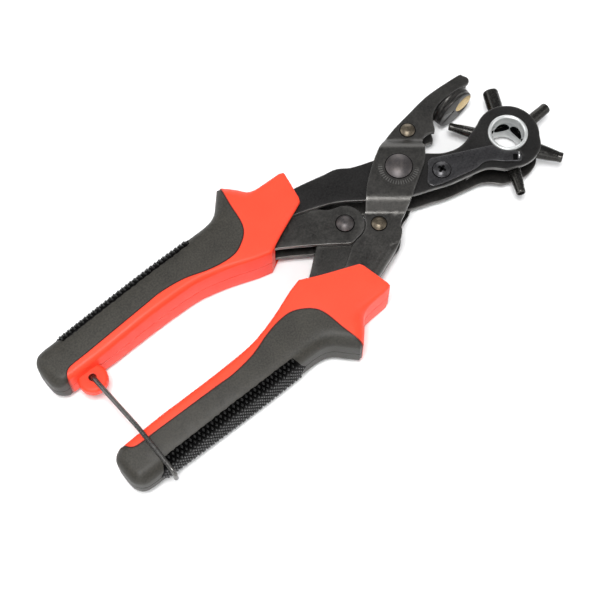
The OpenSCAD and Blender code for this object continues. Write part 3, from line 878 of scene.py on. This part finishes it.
def raised(points):
    """Height of the cheek's joggle."""
    s = points @ JOGGLE_AXIS
    rounding = np.interp(s, BEND_AT, BEND_ROUNDING)
    shifts = np.linspace(-1, 1, 9)
    share = sum(np.interp(s + rounding * shift, JOGGLE_KNOTS, (0, 1, 1, 0)) for shift in shifts)
    return (HIGH_Z - LOW_Z) * share / len(shifts)


def bend_rows():
    """Points across the joggle's bends."""
    along = np.array([JOGGLE_AXIS[1], -JOGGLE_AXIS[0]])
    rows = [s * JOGGLE_AXIS + t * along
            for first, last in BEND_ROWS
            for s in np.arange(first, last, BEND_STEP)
            for t in np.arange(-BEND_REACH, BEND_REACH, BEND_SPREAD)]
    return np.array(rows)


def lip_share(points, line, fade_ends):
    """1 beside a lip's line, fading to 0 past its ends."""
    distance, at = nearest(points, (line[:-1], line[1:]))
    close = 1 - varied(distance, *LIP_BESIDE)
    for end in fade_ends:
        close = close * varied(np.linalg.norm(at - line[end], axis=1), 0, LIP_FADE)
    return close


def lipped_plate(loops, low_at, high_at, line, radius, lip_bottom, fade_ends, rows=()):
    """Plate with softened edges and a lip folded down along part of its edge."""
    outline = segments_of(loops)

    def edge(points):
        distance, at = nearest(points, outline)
        return distance, lip_share(at, line, fade_ends)

    def top(points):
        distance, lip = edge(points)
        return high_at(points) - rolled(distance, EDGE_R + (radius - EDGE_R) * lip)

    def bottom(points):
        distance, lip = edge(points)
        low = low_at(points)
        fold = lip * (1 - varied(distance, FOLD_FROM, FOLD_TO))
        return (low - (low - lip_bottom) * fold) + rolled(distance, EDGE_R)

    return relief(loops, top, bottom, EDGE_RINGS + LIP_RINGS, LIP_SPACING, rows)


def add_both(name, shape, body, slot, rear_shape=None, sharp=40, paint=None):
    """A front part, and a rear part that mirrors it unless it has a shape of its own."""
    piece(f"front_{name}_skin", shape, body, slot, [f"front_{name}"], sharp, paint)
    behind = mirrored(rear_shape or shape, (1, 1, -1))
    piece(f"rear_{name}_skin", behind, body, slot, [f"rear_{name}"], sharp)


def plate_loops(node, lowest):
    return [smooth_loop(loop, PLATE_SPACING) for loop in top_loops(node, lowest)]


def add_plates():
    loops = plate_loops("front_anvil_plate", LOW_Z + 1)
    cheek = lipped_plate(loops, lambda p: LOW_Z + raised(p), lambda p: LOW_TOP + raised(p),
                         LIP_LINE, LIP_RADIUS, LIP_BOTTOM, [0], bend_rows())
    add_both("anvil_plate", cheek, "anvil_lever", "blackened_steel", paint="stamped_steel")

    loops = plate_loops("front_turret_plate", JAW_TOP - UNDER_TOP)
    kept = [loop for loop in loops if abs(area(loop)) > SCREW_HOLE_AREA]
    jaws = [lipped_plate(some, lambda p: np.full(len(p), JAW_Z), lambda p: np.full(len(p), JAW_TOP),
                         TAIL_LIP, TAIL_RADIUS, TAIL_BOTTOM, [-1]) for some in (loops, kept)]
    # The front turret plate takes the darker copy of its steel: painted shade for the head.
    add_both("turret_plate", jaws[0], "turret_jaw", "blackened_steel", jaws[1], paint="shaded_steel")

    for name, body, low, high in (("lever_plate", "left_lever", LEVER_Z, LEVER_TOP),
                                  ("handle_plate", "anvil_lever", INNER_Z, LOW_Z)):
        plate = flat_plate(plate_loops(f"front_{name}", high - UNDER_TOP), low, high)
        add_both(name, plate, body, "blackened_steel")


# ---- Rivets, screw and springs ----

HEAD_LIFT, HEAD_RELIEF, HEAD_LIP = 0.25, 0.35, 0.08
RIM_DROP, SEAT_LIFT, SEAT_SINK = 0.05, 0.1, 0.02
DOME_STEPS = 12


def rivet_profile(shank, head, height, level, flat):
    """Profile of a rivet with two domed heads, relieved under their rims, from pole to pole."""
    ball = (head ** 2 + height ** 2) / (2 * height)
    dome = []
    for r in np.linspace(0, head - HEAD_LIP, DOME_STEPS):
        rise = math.sqrt(ball ** 2 - r ** 2) - (ball - height)
        dome.append((level + min(rise, height - flat) + HEAD_LIFT, r))
    seat = head - HEAD_RELIEF
    dome += [(level + HEAD_LIFT - RIM_DROP, head), (level + SEAT_LIFT, seat),
             (level - SEAT_SINK, seat), (level - SEAT_SINK, shank)]
    upper = dome[::-1]
    lower = [(-h, r) for h, r in dome]
    return eased(lower + upper, HEAD_LIP, steps=2)


# Painted contact shadow round each head: how far its ring reaches in and out, up and down.
SHADOW_IN, SHADOW_OUT = 0.3, 0.35
SHADOW_UP, SHADOW_DOWN = 0.03, 0.05
# Each rivet: its slot, the radii of shank and head, the dome's height, the level that the heads
# sit on, the flat cut off the dome, and how many sides it has.
RIVETS = {
    "jaw_rivet": ("worn_rivet", 2, 3.35, 1.2, LOW_TOP, 0.12, SIDES),
    "handle_rivet": ("worn_rivet", 2, 3.35, 1.3, LOW_TOP, 0.12, SIDES),
    "lever_rivet": ("dark_rivet", 2.6, 3.95, 1.7, LEVER_TOP + 0.15, 0.12, SIDES),
    "pivot_rivet": ("dark_rivet", 2.9, 6.0, 1.7, HIGH_TOP, 0.1, 96),
}


def shadow_ring(at, head, level):
    """Thin black ring round the rim of a head: a painted contact shadow."""
    inner, outer = head - SHADOW_IN, head + SHADOW_OUT
    upper, lower = level + SHADOW_UP, level - SHADOW_DOWN
    profile = np.array([(upper, inner), (upper, outer), (lower, outer), (lower, inner)])
    return turned(profile, (*at, 0), closed=True)


def add_rivets():
    for node, (slot, shank, head, height, level, flat, sides) in RIVETS.items():
        at = (0, 0) if node == "pivot_rivet" else middle(node)
        profile = rivet_profile(shank, head, height, level, flat)
        shape = turned(profile, (*at, 0), sides=sides)
        piece(f"{node}_skin", shape, "anvil_lever", slot, [node], 50)
        # Black ring of painted shadow round each head.
        shade_piece(f"{node}_grime", shadow_ring(at, head, level), "anvil_lever", slot)


def middle(node):
    """Middle of a CAD node in the tool's plane, in millimetres from the main pivot."""
    low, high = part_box(node)
    return (np.array((low + high) / 2) / MM - PIVOT)[:2]


LEAF_TOP = 8.95
SCREW_R, SCREW_H, SCREW_SHANK_R = 4.0, 1.35, 1.6
SCREW_LIFT, SCREW_RIM, SCREW_UNDER = 0.12, 0.35, 0.6
SCREW_SHOULDER, SCREW_EDGE_R = 0.15, 0.1
SLOT_TURNS = (20, 110)
SLOT_REACH, SLOT_HALF, SLOT_DEPTH = 2.55, 0.68, 1.2
SLOT_FOOT, SLOT_ABOVE = (0.45, 0.75), 0.3
# The black cross of painted shade inside the recess: its reach, half width, lift and top.
FLOOR_REACH, FLOOR_HALF, FLOOR_LIFT, FLOOR_TOP = 1.85, 0.55, 0.1, LEAF_TOP + 1.0


def add_screw():
    """The index spring's screw, with a cross recess that narrows downwards and a black cross of painted shade
    inside it.
    """
    at = middle("index_screw")
    ball = (SCREW_R ** 2 + SCREW_H ** 2) / (2 * SCREW_H)
    under = JAW_Z - SCREW_UNDER
    profile = [(under, 0), (under, SCREW_SHANK_R), (LEAF_TOP, SCREW_SHANK_R), (LEAF_TOP, SCREW_R),
               (LEAF_TOP + SCREW_RIM, SCREW_R)]
    profile += [(LEAF_TOP + SCREW_LIFT + math.sqrt(ball ** 2 - r ** 2) - (ball - SCREW_H), r)
                for r in np.linspace(SCREW_R - SCREW_SHOULDER, 0, DOME_STEPS)]
    shape = turned(eased(profile, SCREW_EDGE_R, steps=2), (*at, 0))
    screw = piece("index_screw_skin", shape, "turret_jaw", "index_steel", ["index_screw"], 45)
    # Black ring of painted shadow round the screw's head.
    shade_piece("index_screw_grime", shadow_ring(at, SCREW_R, LEAF_TOP))
    high = LEAF_TOP + SCREW_H + SLOT_ABOVE
    low = LEAF_TOP + SCREW_H + SCREW_LIFT - SLOT_DEPTH
    for number, turn in enumerate(SLOT_TURNS, 1):
        way = (math.cos(math.radians(turn)), math.sin(math.radians(turn)))
        mouth = rectangle(at, way, SLOT_REACH, SLOT_HALF)
        foot = rectangle(at, way, SLOT_REACH * SLOT_FOOT[0], SLOT_HALF * SLOT_FOOT[1])
        cut(screw, box_shape(mouth, low, high, foot))
        # Black cross of painted shade in the recess.
        floor = rectangle(at, way, FLOOR_REACH, FLOOR_HALF)
        shape = box_shape(floor, low + FLOOR_LIFT, FLOOR_TOP)
        shade_piece(f"screw_recess_shade_{number}", shape, sharp=30)


DETENT_DIR = math.radians(-109)
DETENT_REACH, DETENT_HALF_LONG, DETENT_HALF_WIDE, DETENT_R = 11.0, 0.8, 1.2, 0.35
DETENT_OVERLAP = 0.2
LEAF_EDGE_R, DETENT_EDGE_R = 0.16, 0.15
LEAF_SPACING, DETENT_SPACING = 2.0, 1.0
NOTCH_AT, NOTCH_WAY = (43.9, -28.8), (0.777, -0.629)
NOTCH_HALF_LONG, NOTCH_HALF_WIDE = 1.0, 1.5
# The second pair of heights is for the black block of painted shade in the notch.
NOTCH_CUT, NOTCH_SHADE = (JAW_TOP - 0.1, LEAF_TOP + 0.5), (JAW_TOP - 0.05, LEAF_TOP - 0.35)
HOOK_PATH = ((46.9, -27.9, 8.6), (46.4, -28.5, 9.15), (45.6, -29.4, 9.25), (44.9, -30.2, 8.6))
HOOK_R, HOOK_STEP = 0.45, 0.3


def add_index_spring():
    """Leaf with a notch near its tip holding a black block of painted shade, a bright hook beside it, and the
    detent under it.
    """
    loops = plate_loops("index_spring", LEAF_TOP - UNDER_TOP)
    leaf = flat_plate(loops, JAW_TOP, LEAF_TOP, LEAF_EDGE_R, LEAF_SPACING)
    spring = piece("index_spring_skin", leaf, "turret_jaw", "index_steel", ["index_spring"], 40)
    out = np.array([math.cos(DETENT_DIR), math.sin(DETENT_DIR)])
    corners = rectangle(TURRET[:2] + DETENT_REACH * out, out, DETENT_HALF_LONG, DETENT_HALF_WIDE)
    outline = eased(corners, DETENT_R, closed=True)
    detent = flat_plate([outline], JAW_Z, JAW_TOP + DETENT_OVERLAP, DETENT_EDGE_R,
                        DETENT_SPACING)
    piece("index_detent_skin", detent, "turret_jaw", "index_steel", ["index_spring"], 40)
    notch = rectangle(NOTCH_AT, NOTCH_WAY, NOTCH_HALF_LONG, NOTCH_HALF_WIDE)
    cut(spring, box_shape(notch, *NOTCH_CUT))
    # Black block of painted shade in the notch.
    shade_piece("index_notch_shade", box_shape(notch, *NOTCH_SHADE), sharp=30)
    hook = swept(smooth_line(HOOK_PATH, HOOK_STEP), HOOK_R, THIN_WIRE_SIDES)
    piece("index_hook", hook, "turret_jaw", "index_steel", sharp=40, paint="bright_steel")


BUSH_R, COIL_GAP, COIL_WIRE_R, COIL_HALF = 4.4, 0.4, 0.7, 3.2
COIL_TURNS, COIL_START, COIL_SHORT = 4, math.radians(-60), math.radians(130)
SPRING_LEGS = ((19.5, 7.6), (13, 3.6)), ((-12, 9.4), (-27, 15.2))
LEG_STEP, TURN_STEPS = 0.6, 60


def add_return_spring():
    """Torsion spring: a coil round the bush, and a leg into each handle."""
    radius = BUSH_R + COIL_GAP + COIL_WIRE_R
    steps = np.linspace(0, 1, TURN_STEPS * COIL_TURNS)
    angle = COIL_START + (2 * math.pi * COIL_TURNS - COIL_SHORT) * steps
    coil = np.column_stack([radius * np.cos(angle), radius * np.sin(angle),
                            -COIL_HALF + 2 * COIL_HALF * steps])
    first, last = ([(*at, z) for at in leg] for leg, z in zip(SPRING_LEGS, (-COIL_HALF, COIL_HALF)))
    start = smooth_line([*first, tuple(coil[0])], LEG_STEP)
    end = smooth_line([tuple(coil[-1]), *last], LEG_STEP)
    path = np.concatenate([start[:-1], coil, end[1:]])
    shape = swept(path, COIL_WIRE_R, THIN_WIRE_SIDES)
    piece("return_spring_skin", shape, "anvil_lever", "spring_steel", ["return_spring"])


# ---- Turret and anvil ----

# Distances from the turret's axis along a punch tube.
TUBE_ROOT, TUBE_SEAT, COLLAR_END, NECK, TIP_REACH = 8.7, 12.62, 15.32, 20, 26.7
TIP_START, BEVEL_START, BEVEL_END = TIP_REACH - 2.1, TIP_REACH - 0.6, TIP_REACH - 0.05
WEAR_START, WEAR_FULL = TIP_REACH - 1.0, TIP_REACH - 0.4
SLUG_END, HOLE_START = 14, 15
NECK_SWELL, BEVEL, CUTTING_EDGE = 0.1, 0.2, 0.1
SLICE_HALF, TUBE_EDGE_R = 0.1, 0.14
EYELET_H, EYELET_DEPTH = 1.35, 2
EYELET_R, EYELET_BARREL_R, BORE_R = 9.0, 8.3, 7.35
EYELET_EDGE_R, EYELET_SIDES = 0.28, 128
BRIM_IN, THROAT_OUT, RUBBED_SPREAD = 0.3, 0.35, 0.12
# How far the bevels at the brim and at the throat reach down and across.
BRIM_DOWN, BRIM_ACROSS, THROAT_DOWN, THROAT_ACROSS = 0.45, 0.35, 0.5, 0.75


def tube_sizes(node):
    """Direction of a punch tube, and the radii of its base, tip, bore, shank and slug hole."""
    points = cad_points(node) - TURRET
    mean = points.mean(0)
    way = mean / np.linalg.norm(mean)
    along = points @ way
    radius = np.linalg.norm(points - along[:, None] * way, axis=1)
    seat, rim, end, root = (radius[abs(along - at) < SLICE_HALF]
                            for at in (TUBE_SEAT, TIP_REACH - 0.7, TIP_REACH, TUBE_ROOT))
    return way, seat.max(), rim.max(), end.min(), root.max(), root.min()


def add_tubes():
    for number in range(1, 7):
        node = f"punch_tube_{number}"
        way, base, tip, hole, shank, slug = tube_sizes(node)
        outline = [(TUBE_ROOT, slug), (TUBE_ROOT, shank), (TUBE_SEAT, shank), (TUBE_SEAT, base),
                   (COLLAR_END, base), (NECK, (base + tip) / 2 + NECK_SWELL), (TIP_START, tip),
                   (BEVEL_START, tip), (BEVEL_END, tip - BEVEL), (TIP_REACH, hole + CUTTING_EDGE),
                   (TIP_REACH, hole), (HOLE_START, hole), (SLUG_END, slug)]
        profile = eased(outline, TUBE_EDGE_R, closed=True, steps=3)
        points, faces, _ = turned(profile, TURRET, way, closed=True)
        wear_and_shade = varied(profile[:, 0], WEAR_START, WEAR_FULL)
        shape = (points, faces, np.repeat(wear_and_shade, SIDES))
        piece(f"{node}_skin", shape, "turret", "tube_steel", [node], 35)


def add_eyelets():
    """Flanged rings that hold the hub, rubbed bright at the brim and the throat."""
    low, top = JAW_Z - EYELET_DEPTH, JAW_TOP + EYELET_H
    outline = [(low, BORE_R), (low, EYELET_BARREL_R), (JAW_TOP, EYELET_BARREL_R),
               (JAW_TOP, EYELET_R), (top - BRIM_DOWN, EYELET_R), (top, EYELET_R - BRIM_ACROSS),
               (top, BORE_R + THROAT_ACROSS), (top - THROAT_DOWN, BORE_R)]
    profile = eased(outline, EYELET_EDGE_R, closed=True)
    points, faces, _ = turned(profile, TURRET, closed=True, sides=EYELET_SIDES)
    brim = np.exp(-(profile[:, 1] - EYELET_R + BRIM_IN) ** 2 / RUBBED_SPREAD)
    throat = np.exp(-(profile[:, 1] - BORE_R - THROAT_OUT) ** 2 / RUBBED_SPREAD)
    shape = (points, faces, np.repeat(np.clip(brim + throat, 0, 1), EYELET_SIDES))
    add_both("eyelet", shape, "turret_jaw", "zinc_steel", sharp=50)


STRIKE = math.radians(93.3)
ANVIL_REACH, ANVIL_R, ANVIL_T, PAD_OFFSET = 27.15, 10.2, 4.2, 5.1
STEM_R, STEM_END = 3, ANVIL_T + 4
RIM_LINE, RIM_LINE_DEPTH = (1.55, 1.85), 0.5
PAD_R, PAD_T, PAD_GAP, PAD_SINK = 4.8, 2.5, 0.04, 0.02
DOT_R, DOT_DEPTH, DOT_OFFSET = 0.7, 1.5, 1.6
DISC_EDGE_R, PAD_EDGE_R, DISC_SIDES, PAD_SIDES, DOT_SIDES = 0.45, 0.2, 128, 96, 32


def add_anvil():
    """Disc with a line round its rim, a brass pad let into its face, and a punched dot."""
    away = np.array([math.cos(STRIKE), math.sin(STRIKE), 0])
    across = np.array([away[1], -away[0], 0])
    centre = TURRET + away * ANVIL_REACH - across * PAD_OFFSET
    disc = eased([(0, 0), (0, ANVIL_R - 0.3), (ANVIL_T, ANVIL_R), (ANVIL_T, STEM_R),
                  (STEM_END, STEM_R), (STEM_END, 0)], DISC_EDGE_R)
    obj = piece("anvil_disc_skin", turned(disc, centre, away, DISC_SIDES), "anvil_lever",
                "anvil_steel", ["anvil_disc"], 40)
    inner, outer = ANVIL_R - RIM_LINE_DEPTH, ANVIL_R + 1
    line = [(RIM_LINE[0], inner), (RIM_LINE[0], outer), (RIM_LINE[1], outer), (RIM_LINE[1], inner)]
    cut(obj, turned(line, centre, away, DISC_SIDES, closed=True))
    seat = centre + across * PAD_OFFSET
    cut(obj, rod(-1, PAD_T, PAD_R + PAD_GAP, seat, away, PAD_SIDES))
    cut(obj, rod(-1, DOT_DEPTH, DOT_R, centre - across * DOT_OFFSET, away, DOT_SIDES))
    low, high = PAD_SINK, PAD_T - PAD_SINK
    pad = eased([(low, 0), (low, PAD_R), (high, PAD_R), (high, 0)], PAD_EDGE_R)
    piece("anvil_pad_skin", turned(pad, seat, away, PAD_SIDES), "anvil_lever", "brass_pad",
          ["anvil_pad"], 40)


# ---- Lock wire ----

WIRE_R, WIRE_BEND, WIRE_STEP, WIRE_SIDES = 1.05, 2.4, 1.2, 22
WIRE_PATH = (LUG + (4.6, 0.4, -4.5), LUG + (0, 0, -4.5), LUG + (0, 0, 4), (-162.4, -24.5, 11.2),
             (-162.3, -49.8, 11.2), (-162.3, -49.8, 3.5))


def add_wire():
    bent = eased(WIRE_PATH, WIRE_BEND, steps=8)
    path = [bent[0]]
    for a, b in zip(bent, bent[1:]):
        count = max(1, int(np.linalg.norm(b - a) / WIRE_STEP))
        path += [a + (b - a) * (i + 1) / count for i in range(count)]
    piece("lock_wire_skin", swept(path, WIRE_R, WIRE_SIDES), "lock", "wire_steel", ["lock_wire"])


# ---- Grips, drawn once at a distance w from the tool's middle line ----

MIDDLE_Y = -7.7
LEFT_TURN = math.radians(1.4)
LEFT_CENTRE = np.array([-150, MIDDLE_Y + 28, 0])
LEFT_SHIFT = np.array([-1.5, 0.6, 0])
TAPER_X = (-182, -165, -150, -128, -118, -30)
TAPER_HALF = (9.4, 9.9, 10.7, 11.8, 12, 12)
TAPER_SHIFTS = (-6, -3, 0, 3, 6)
FACE_LEVEL, GRIP_SPACING, GRIP_GRID = 9.2, 1.3, 2.4
# The seam's rounding, and how far the painted shade spreads from it.
SEAM_R, SEAM_SHADE_SPREAD = 0.3, 0.35
SEAM_TOUCH, SEAM_FREE = 0.12, 0.05
INNER_X, INNER_R = (-100, -76), (2.4, 1.2)
WING_W, WING_R = (34, 38), 4.4
EDGE_W, COVER_EDGE_R, RUBBER_R = (18, 30), 3, 5.5
BUTT_X, BUTT_R = (172, 176), 4.6
CROWN, CROWN_REACH, CROWN_AT_SEAM = 0.35, 12, 8
PARTING = ((0.28, 0.0), (0.14, 0.45), (-0.14, 0.45), (-0.28, 0.0))
PARTING_HALF = 0.2
CORE_RINGS = (0.06, 0.16, 0.3, 0.5, 0.8, 1.1, 1.5, 1.9, 2.3, 2.6)
COVER_RINGS = (0.06, 0.16, 0.3, 0.6, 1.0, 1.5, 2.1, 2.8, 3.6, 4.5, 5.5, 6.0)


def on_right(shape):
    points, faces, wear_and_shade = mirrored(shape, (1, -1, 1))
    return points + (0, MIDDLE_Y, 0), faces, wear_and_shade


def on_left(shape):
    points, faces, wear_and_shade = shape
    c, s = math.cos(LEFT_TURN), math.sin(LEFT_TURN)
    x, y, z = (points + (0, MIDDLE_Y, 0) - LEFT_CENTRE).T
    leaning = np.column_stack([c * x - s * y, s * x + c * y, z])
    return leaning + LEFT_CENTRE + LEFT_SHIFT, faces, wear_and_shade


def half_thickness(x):
    """Half the grip's thickness along X, with the corners of its taper averaged away."""
    halves = [np.interp(x + shift, TAPER_X, TAPER_HALF) for shift in TAPER_SHIFTS]
    return sum(halves) / len(halves)


def grip_outline(node):
    """Outline of a part of the grip, in x and w."""
    loop = top_loops(node, FACE_LEVEL)[0]
    return smooth_loop(np.column_stack([loop[:, 0], MIDDLE_Y - loop[:, 1]])[::-1], GRIP_SPACING)


def core_radius(at):
    """Rounding of the hard core's edge: small inside the handles, larger on the wing."""
    inner = np.interp(at[:, 0], INNER_X, INNER_R)
    return inner + (WING_R - inner) * varied(at[:, 1], *WING_W)


def cover_radius(at):
    """Rounding of the soft cover's edge: large along the outside, a little less at the butt."""
    outside = np.clip((at[:, 1] - EDGE_W[0]) / (EDGE_W[1] - EDGE_W[0]), 0, 1)
    butt = varied(-at[:, 0], *BUTT_X)
    return (COVER_EDGE_R + (RUBBER_R - COVER_EDGE_R) * outside) * (1 - butt) + BUTT_R * butt


def grip_part(outline, other, radius_at, rings):
    """One part of a grip: rounded along its own edges, and meeting the other at a seam."""
    starts, ends = segments_of([outline])
    shared = nearest((starts + ends) / 2, segments_of([other]))[0] < SEAM_TOUCH
    seam, free = (starts[shared], ends[shared]), (starts[~shared], ends[~shared])

    def drop(points):
        own, at = nearest(points, free)
        joint = nearest(points, seam)[0]
        depth = np.minimum(own, joint + CROWN_AT_SEAM)
        crown = CROWN * (1 - np.clip(depth / CROWN_REACH, 0, 1)) ** 2
        return np.maximum(rolled(own, radius_at(at)), rolled(joint, SEAM_R)) + crown

    def top(points):
        return half_thickness(points[:, 0]) - drop(points)

    def is_free(points):
        return (nearest(points, seam)[0] > SEAM_FREE).astype(float)

    points, faces, _ = relief([outline], top, lambda p: -top(p), rings, GRIP_GRID,
                              waist=PARTING, grooved=is_free)
    # Painted shade along the seam and in the parting groove.
    joint = nearest(points[:, :2], seam)[0]
    grime = np.exp(-(joint / SEAM_SHADE_SPREAD) ** 2)
    grime[abs(points[:, 2]) < PARTING_HALF] = 1
    return points, faces, grime


LUG_R, LUG_BORE_R, LUG_HALF = 6.5, 1.5, 3
LUG_EDGE_R, LUG_BORE_EDGE_R = 1.3, 0.4
LUG_RINGS, LUG_SPACING = (0.08, 0.25, 0.5, 0.9, LUG_EDGE_R), 1.0


def lug():
    """Tab that the lock wire turns in, in the tool's plane."""
    loops = [circle(LUG, LUG_R, 72), circle(LUG, LUG_BORE_R, 32)[::-1]]
    edge, bore = segments_of(loops[:1]), segments_of(loops[1:])

    def top(points):
        outer, inner = nearest(points, edge)[0], nearest(points, bore)[0]
        return LUG_HALF - rolled(outer, LUG_EDGE_R) - rolled(inner, LUG_BORE_EDGE_R)

    points, faces, _ = relief(loops, top, lambda p: -top(p), LUG_RINGS, LUG_SPACING)
    # Painted shade round the bore.
    return points, faces, np.exp(-(nearest(points[:, :2], bore)[0] / SEAM_SHADE_SPREAD) ** 2)


STRIP_X = (-167.7, -88.8)
STRIP_FROM, STRIP_OUTER, STRIP_SINK = 33.3, 37.2, 0.1
STRIP_LEAN_X, STRIP_LEAN, STRIP_SLANT = (-110, -92), 0.3, 5.0
STRIP_COLUMNS, STRIP_AROUND = 90, 44
BASE_LIFT, BASE_EDGE_LIFT = 0.05, -0.3
STUD_PITCH, STUD_ROW, STUD_FIRST = 2.25, 1.9, 0.7
STUD_LONG, STUD_WIDE, STUD_H = 0.72, 1.15, 0.75
STUD_LEVELS = ((0.0, 1.0), (0.8, 0.62), (1.0, 0.4))
STUD_END_GAP, STUD_EDGE_GAP = 1, 1.3


def strip_section(x, outer):
    """Height of the rounded edge's centre, the arc that the strip covers, and where it starts."""
    first = math.asin((STRIP_FROM - outer + RUBBER_R) / RUBBER_R)
    return (half_thickness(x) - STRIP_SINK - RUBBER_R, RUBBER_R * (math.pi / 2 - first), first)


def strip_place(x, v, lift):
    """Point on the outer side of the grip, v millimetres round it from the strip's front edge."""
    outer = STRIP_OUTER - np.interp(x, STRIP_LEAN_X, (0, STRIP_LEAN))
    centre_z, arc, first = strip_section(x, outer)
    wall = 2 * centre_z
    if v < arc:
        angle, z_middle = first + v / RUBBER_R, centre_z
    elif v < arc + wall:
        return np.array([x, outer + lift, centre_z - (v - arc)])
    else:
        angle, z_middle = math.pi / 2 + (v - arc - wall) / RUBBER_R, -centre_z
    reach = RUBBER_R + lift
    return np.array([x, outer - RUBBER_R + reach * math.sin(angle),
                     z_middle + reach * math.cos(angle)])


def strip_girth(x):
    centre_z, arc, _ = strip_section(x, STRIP_OUTER)
    return 2 * (arc + centre_z)


def strip_end(v, girth):
    """How far the strip's slanted end leans at a place round the grip."""
    return STRIP_SLANT * abs(2 * v / girth - 1)


def strip_base():
    """Points and faces of the sheet under the studs, its edges sunk into the grip."""
    points, faces = [], []
    row = STRIP_AROUND + 1
    for i in range(STRIP_COLUMNS + 1):
        x = STRIP_X[0] + (STRIP_X[1] - STRIP_X[0]) * i / STRIP_COLUMNS
        girth = strip_girth(x)
        for k in range(row):
            v = girth * k / STRIP_AROUND
            lean = strip_end(v, girth) * (2 * i / STRIP_COLUMNS - 1)
            rim = i in (0, STRIP_COLUMNS) or k in (0, STRIP_AROUND)
            points.append(strip_place(x - lean, v, BASE_EDGE_LIFT if rim else BASE_LIFT))
    for i in range(STRIP_COLUMNS):
        for k in range(STRIP_AROUND):
            a = i * row + k
            faces.append((a + 1, a + row + 1, a + row, a))
    return points, faces


def stud(x, v):
    """Little diamond-shaped hump."""
    corners = [strip_place(x + dx * STUD_LONG * size, v + dv * STUD_WIDE * size, lift * STUD_H)
               for lift, size in STUD_LEVELS for dx, dv in ((1, 0), (0, 1), (-1, 0), (0, -1))]
    faces = [(8, 9, 10, 11)]
    for level in (0, 4):
        for i in range(4):
            j = (i + 1) % 4
            faces.append((level + i, level + j, level + 4 + j, level + 4 + i))
    return corners, faces


def strip():
    """Textured strip round the outer side of a grip, with staggered rows of studs."""
    points, faces = strip_base()
    shine = [0.0] * len(points)
    first, last = STRIP_X[0] + STUD_END_GAP, STRIP_X[1] - STUD_END_GAP
    for row in range(int(strip_girth(STRIP_X[1]) / STUD_ROW)):
        v = (row + STUD_FIRST) * STUD_ROW
        for x in np.arange(first + STUD_PITCH / 2 * (row % 2), last, STUD_PITCH):
            girth = strip_girth(x)
            lean = strip_end(v, girth)
            if v > girth - STUD_EDGE_GAP or not first + lean < x < last - lean:
                continue
            corners, stud_faces = stud(x, v)
            faces += [tuple(len(points) + c for c in f) for f in stud_faces]
            points += corners
            # Stud tops get 1; the sheet between them gets 0 and is painted black as shade.
            shine += [0.0] * 4 + [1.0] * 8
    return np.array(points), faces, np.array(shine)


MOUTH = np.array([[-73, 10.5], [-66, 2], [-36, 6], [-36, 27.6], [-73, 26]], float)
MOUTH_HALF = 9.9


def add_grips():
    core, cover = grip_outline("right_grip_core"), grip_outline("right_grip_cover")
    core_shape = grip_part(core, cover, core_radius, CORE_RINGS)
    cover_shape = grip_part(cover, core, cover_radius, COVER_RINGS)
    strip_shape = strip()
    for side, place, body in (("right", on_right, "anvil_lever"), ("left", on_left, "left_lever")):
        shape = place(core_shape)
        if side == "left":
            shape = joined(shape, lug())
        red = piece(f"{side}_core_skin", shape, body, "red_plastic", [f"{side}_grip_core"], 40)
        if side == "left":
            cut(red, box_shape(MOUTH, -MOUTH_HALF, MOUTH_HALF))
        piece(f"{side}_cover_skin", place(cover_shape), body, "black_rubber",
              [f"{side}_grip_cover"], 50)
        piece(f"{side}_strip_skin", place(strip_shape), body, "textured_rubber",
              [f"{side}_grip_strip"], 30)


# ---- Whole scene ----

def paint_nodes():
    """Gives every CAD node its own slot's material."""
    for part in frame["record"]["subparts"]:
        mesh = frame["nodes"][part["node"]].data
        mesh.materials.clear()
        # The hub gets hub_steel, which paints its hollows black as shade.
        hub = part["node"] == "turret_hub"
        mesh.materials.append(MATERIALS["hub_steel" if hub else part["material_slot"]])


MATERIALS = make_materials()
add_camera()
add_studio()
paint_nodes()
add_plates()
add_rivets()
add_screw()
add_index_spring()
add_return_spring()
add_tubes()
add_eyelets()
add_anvil()
add_wire()
add_grips()
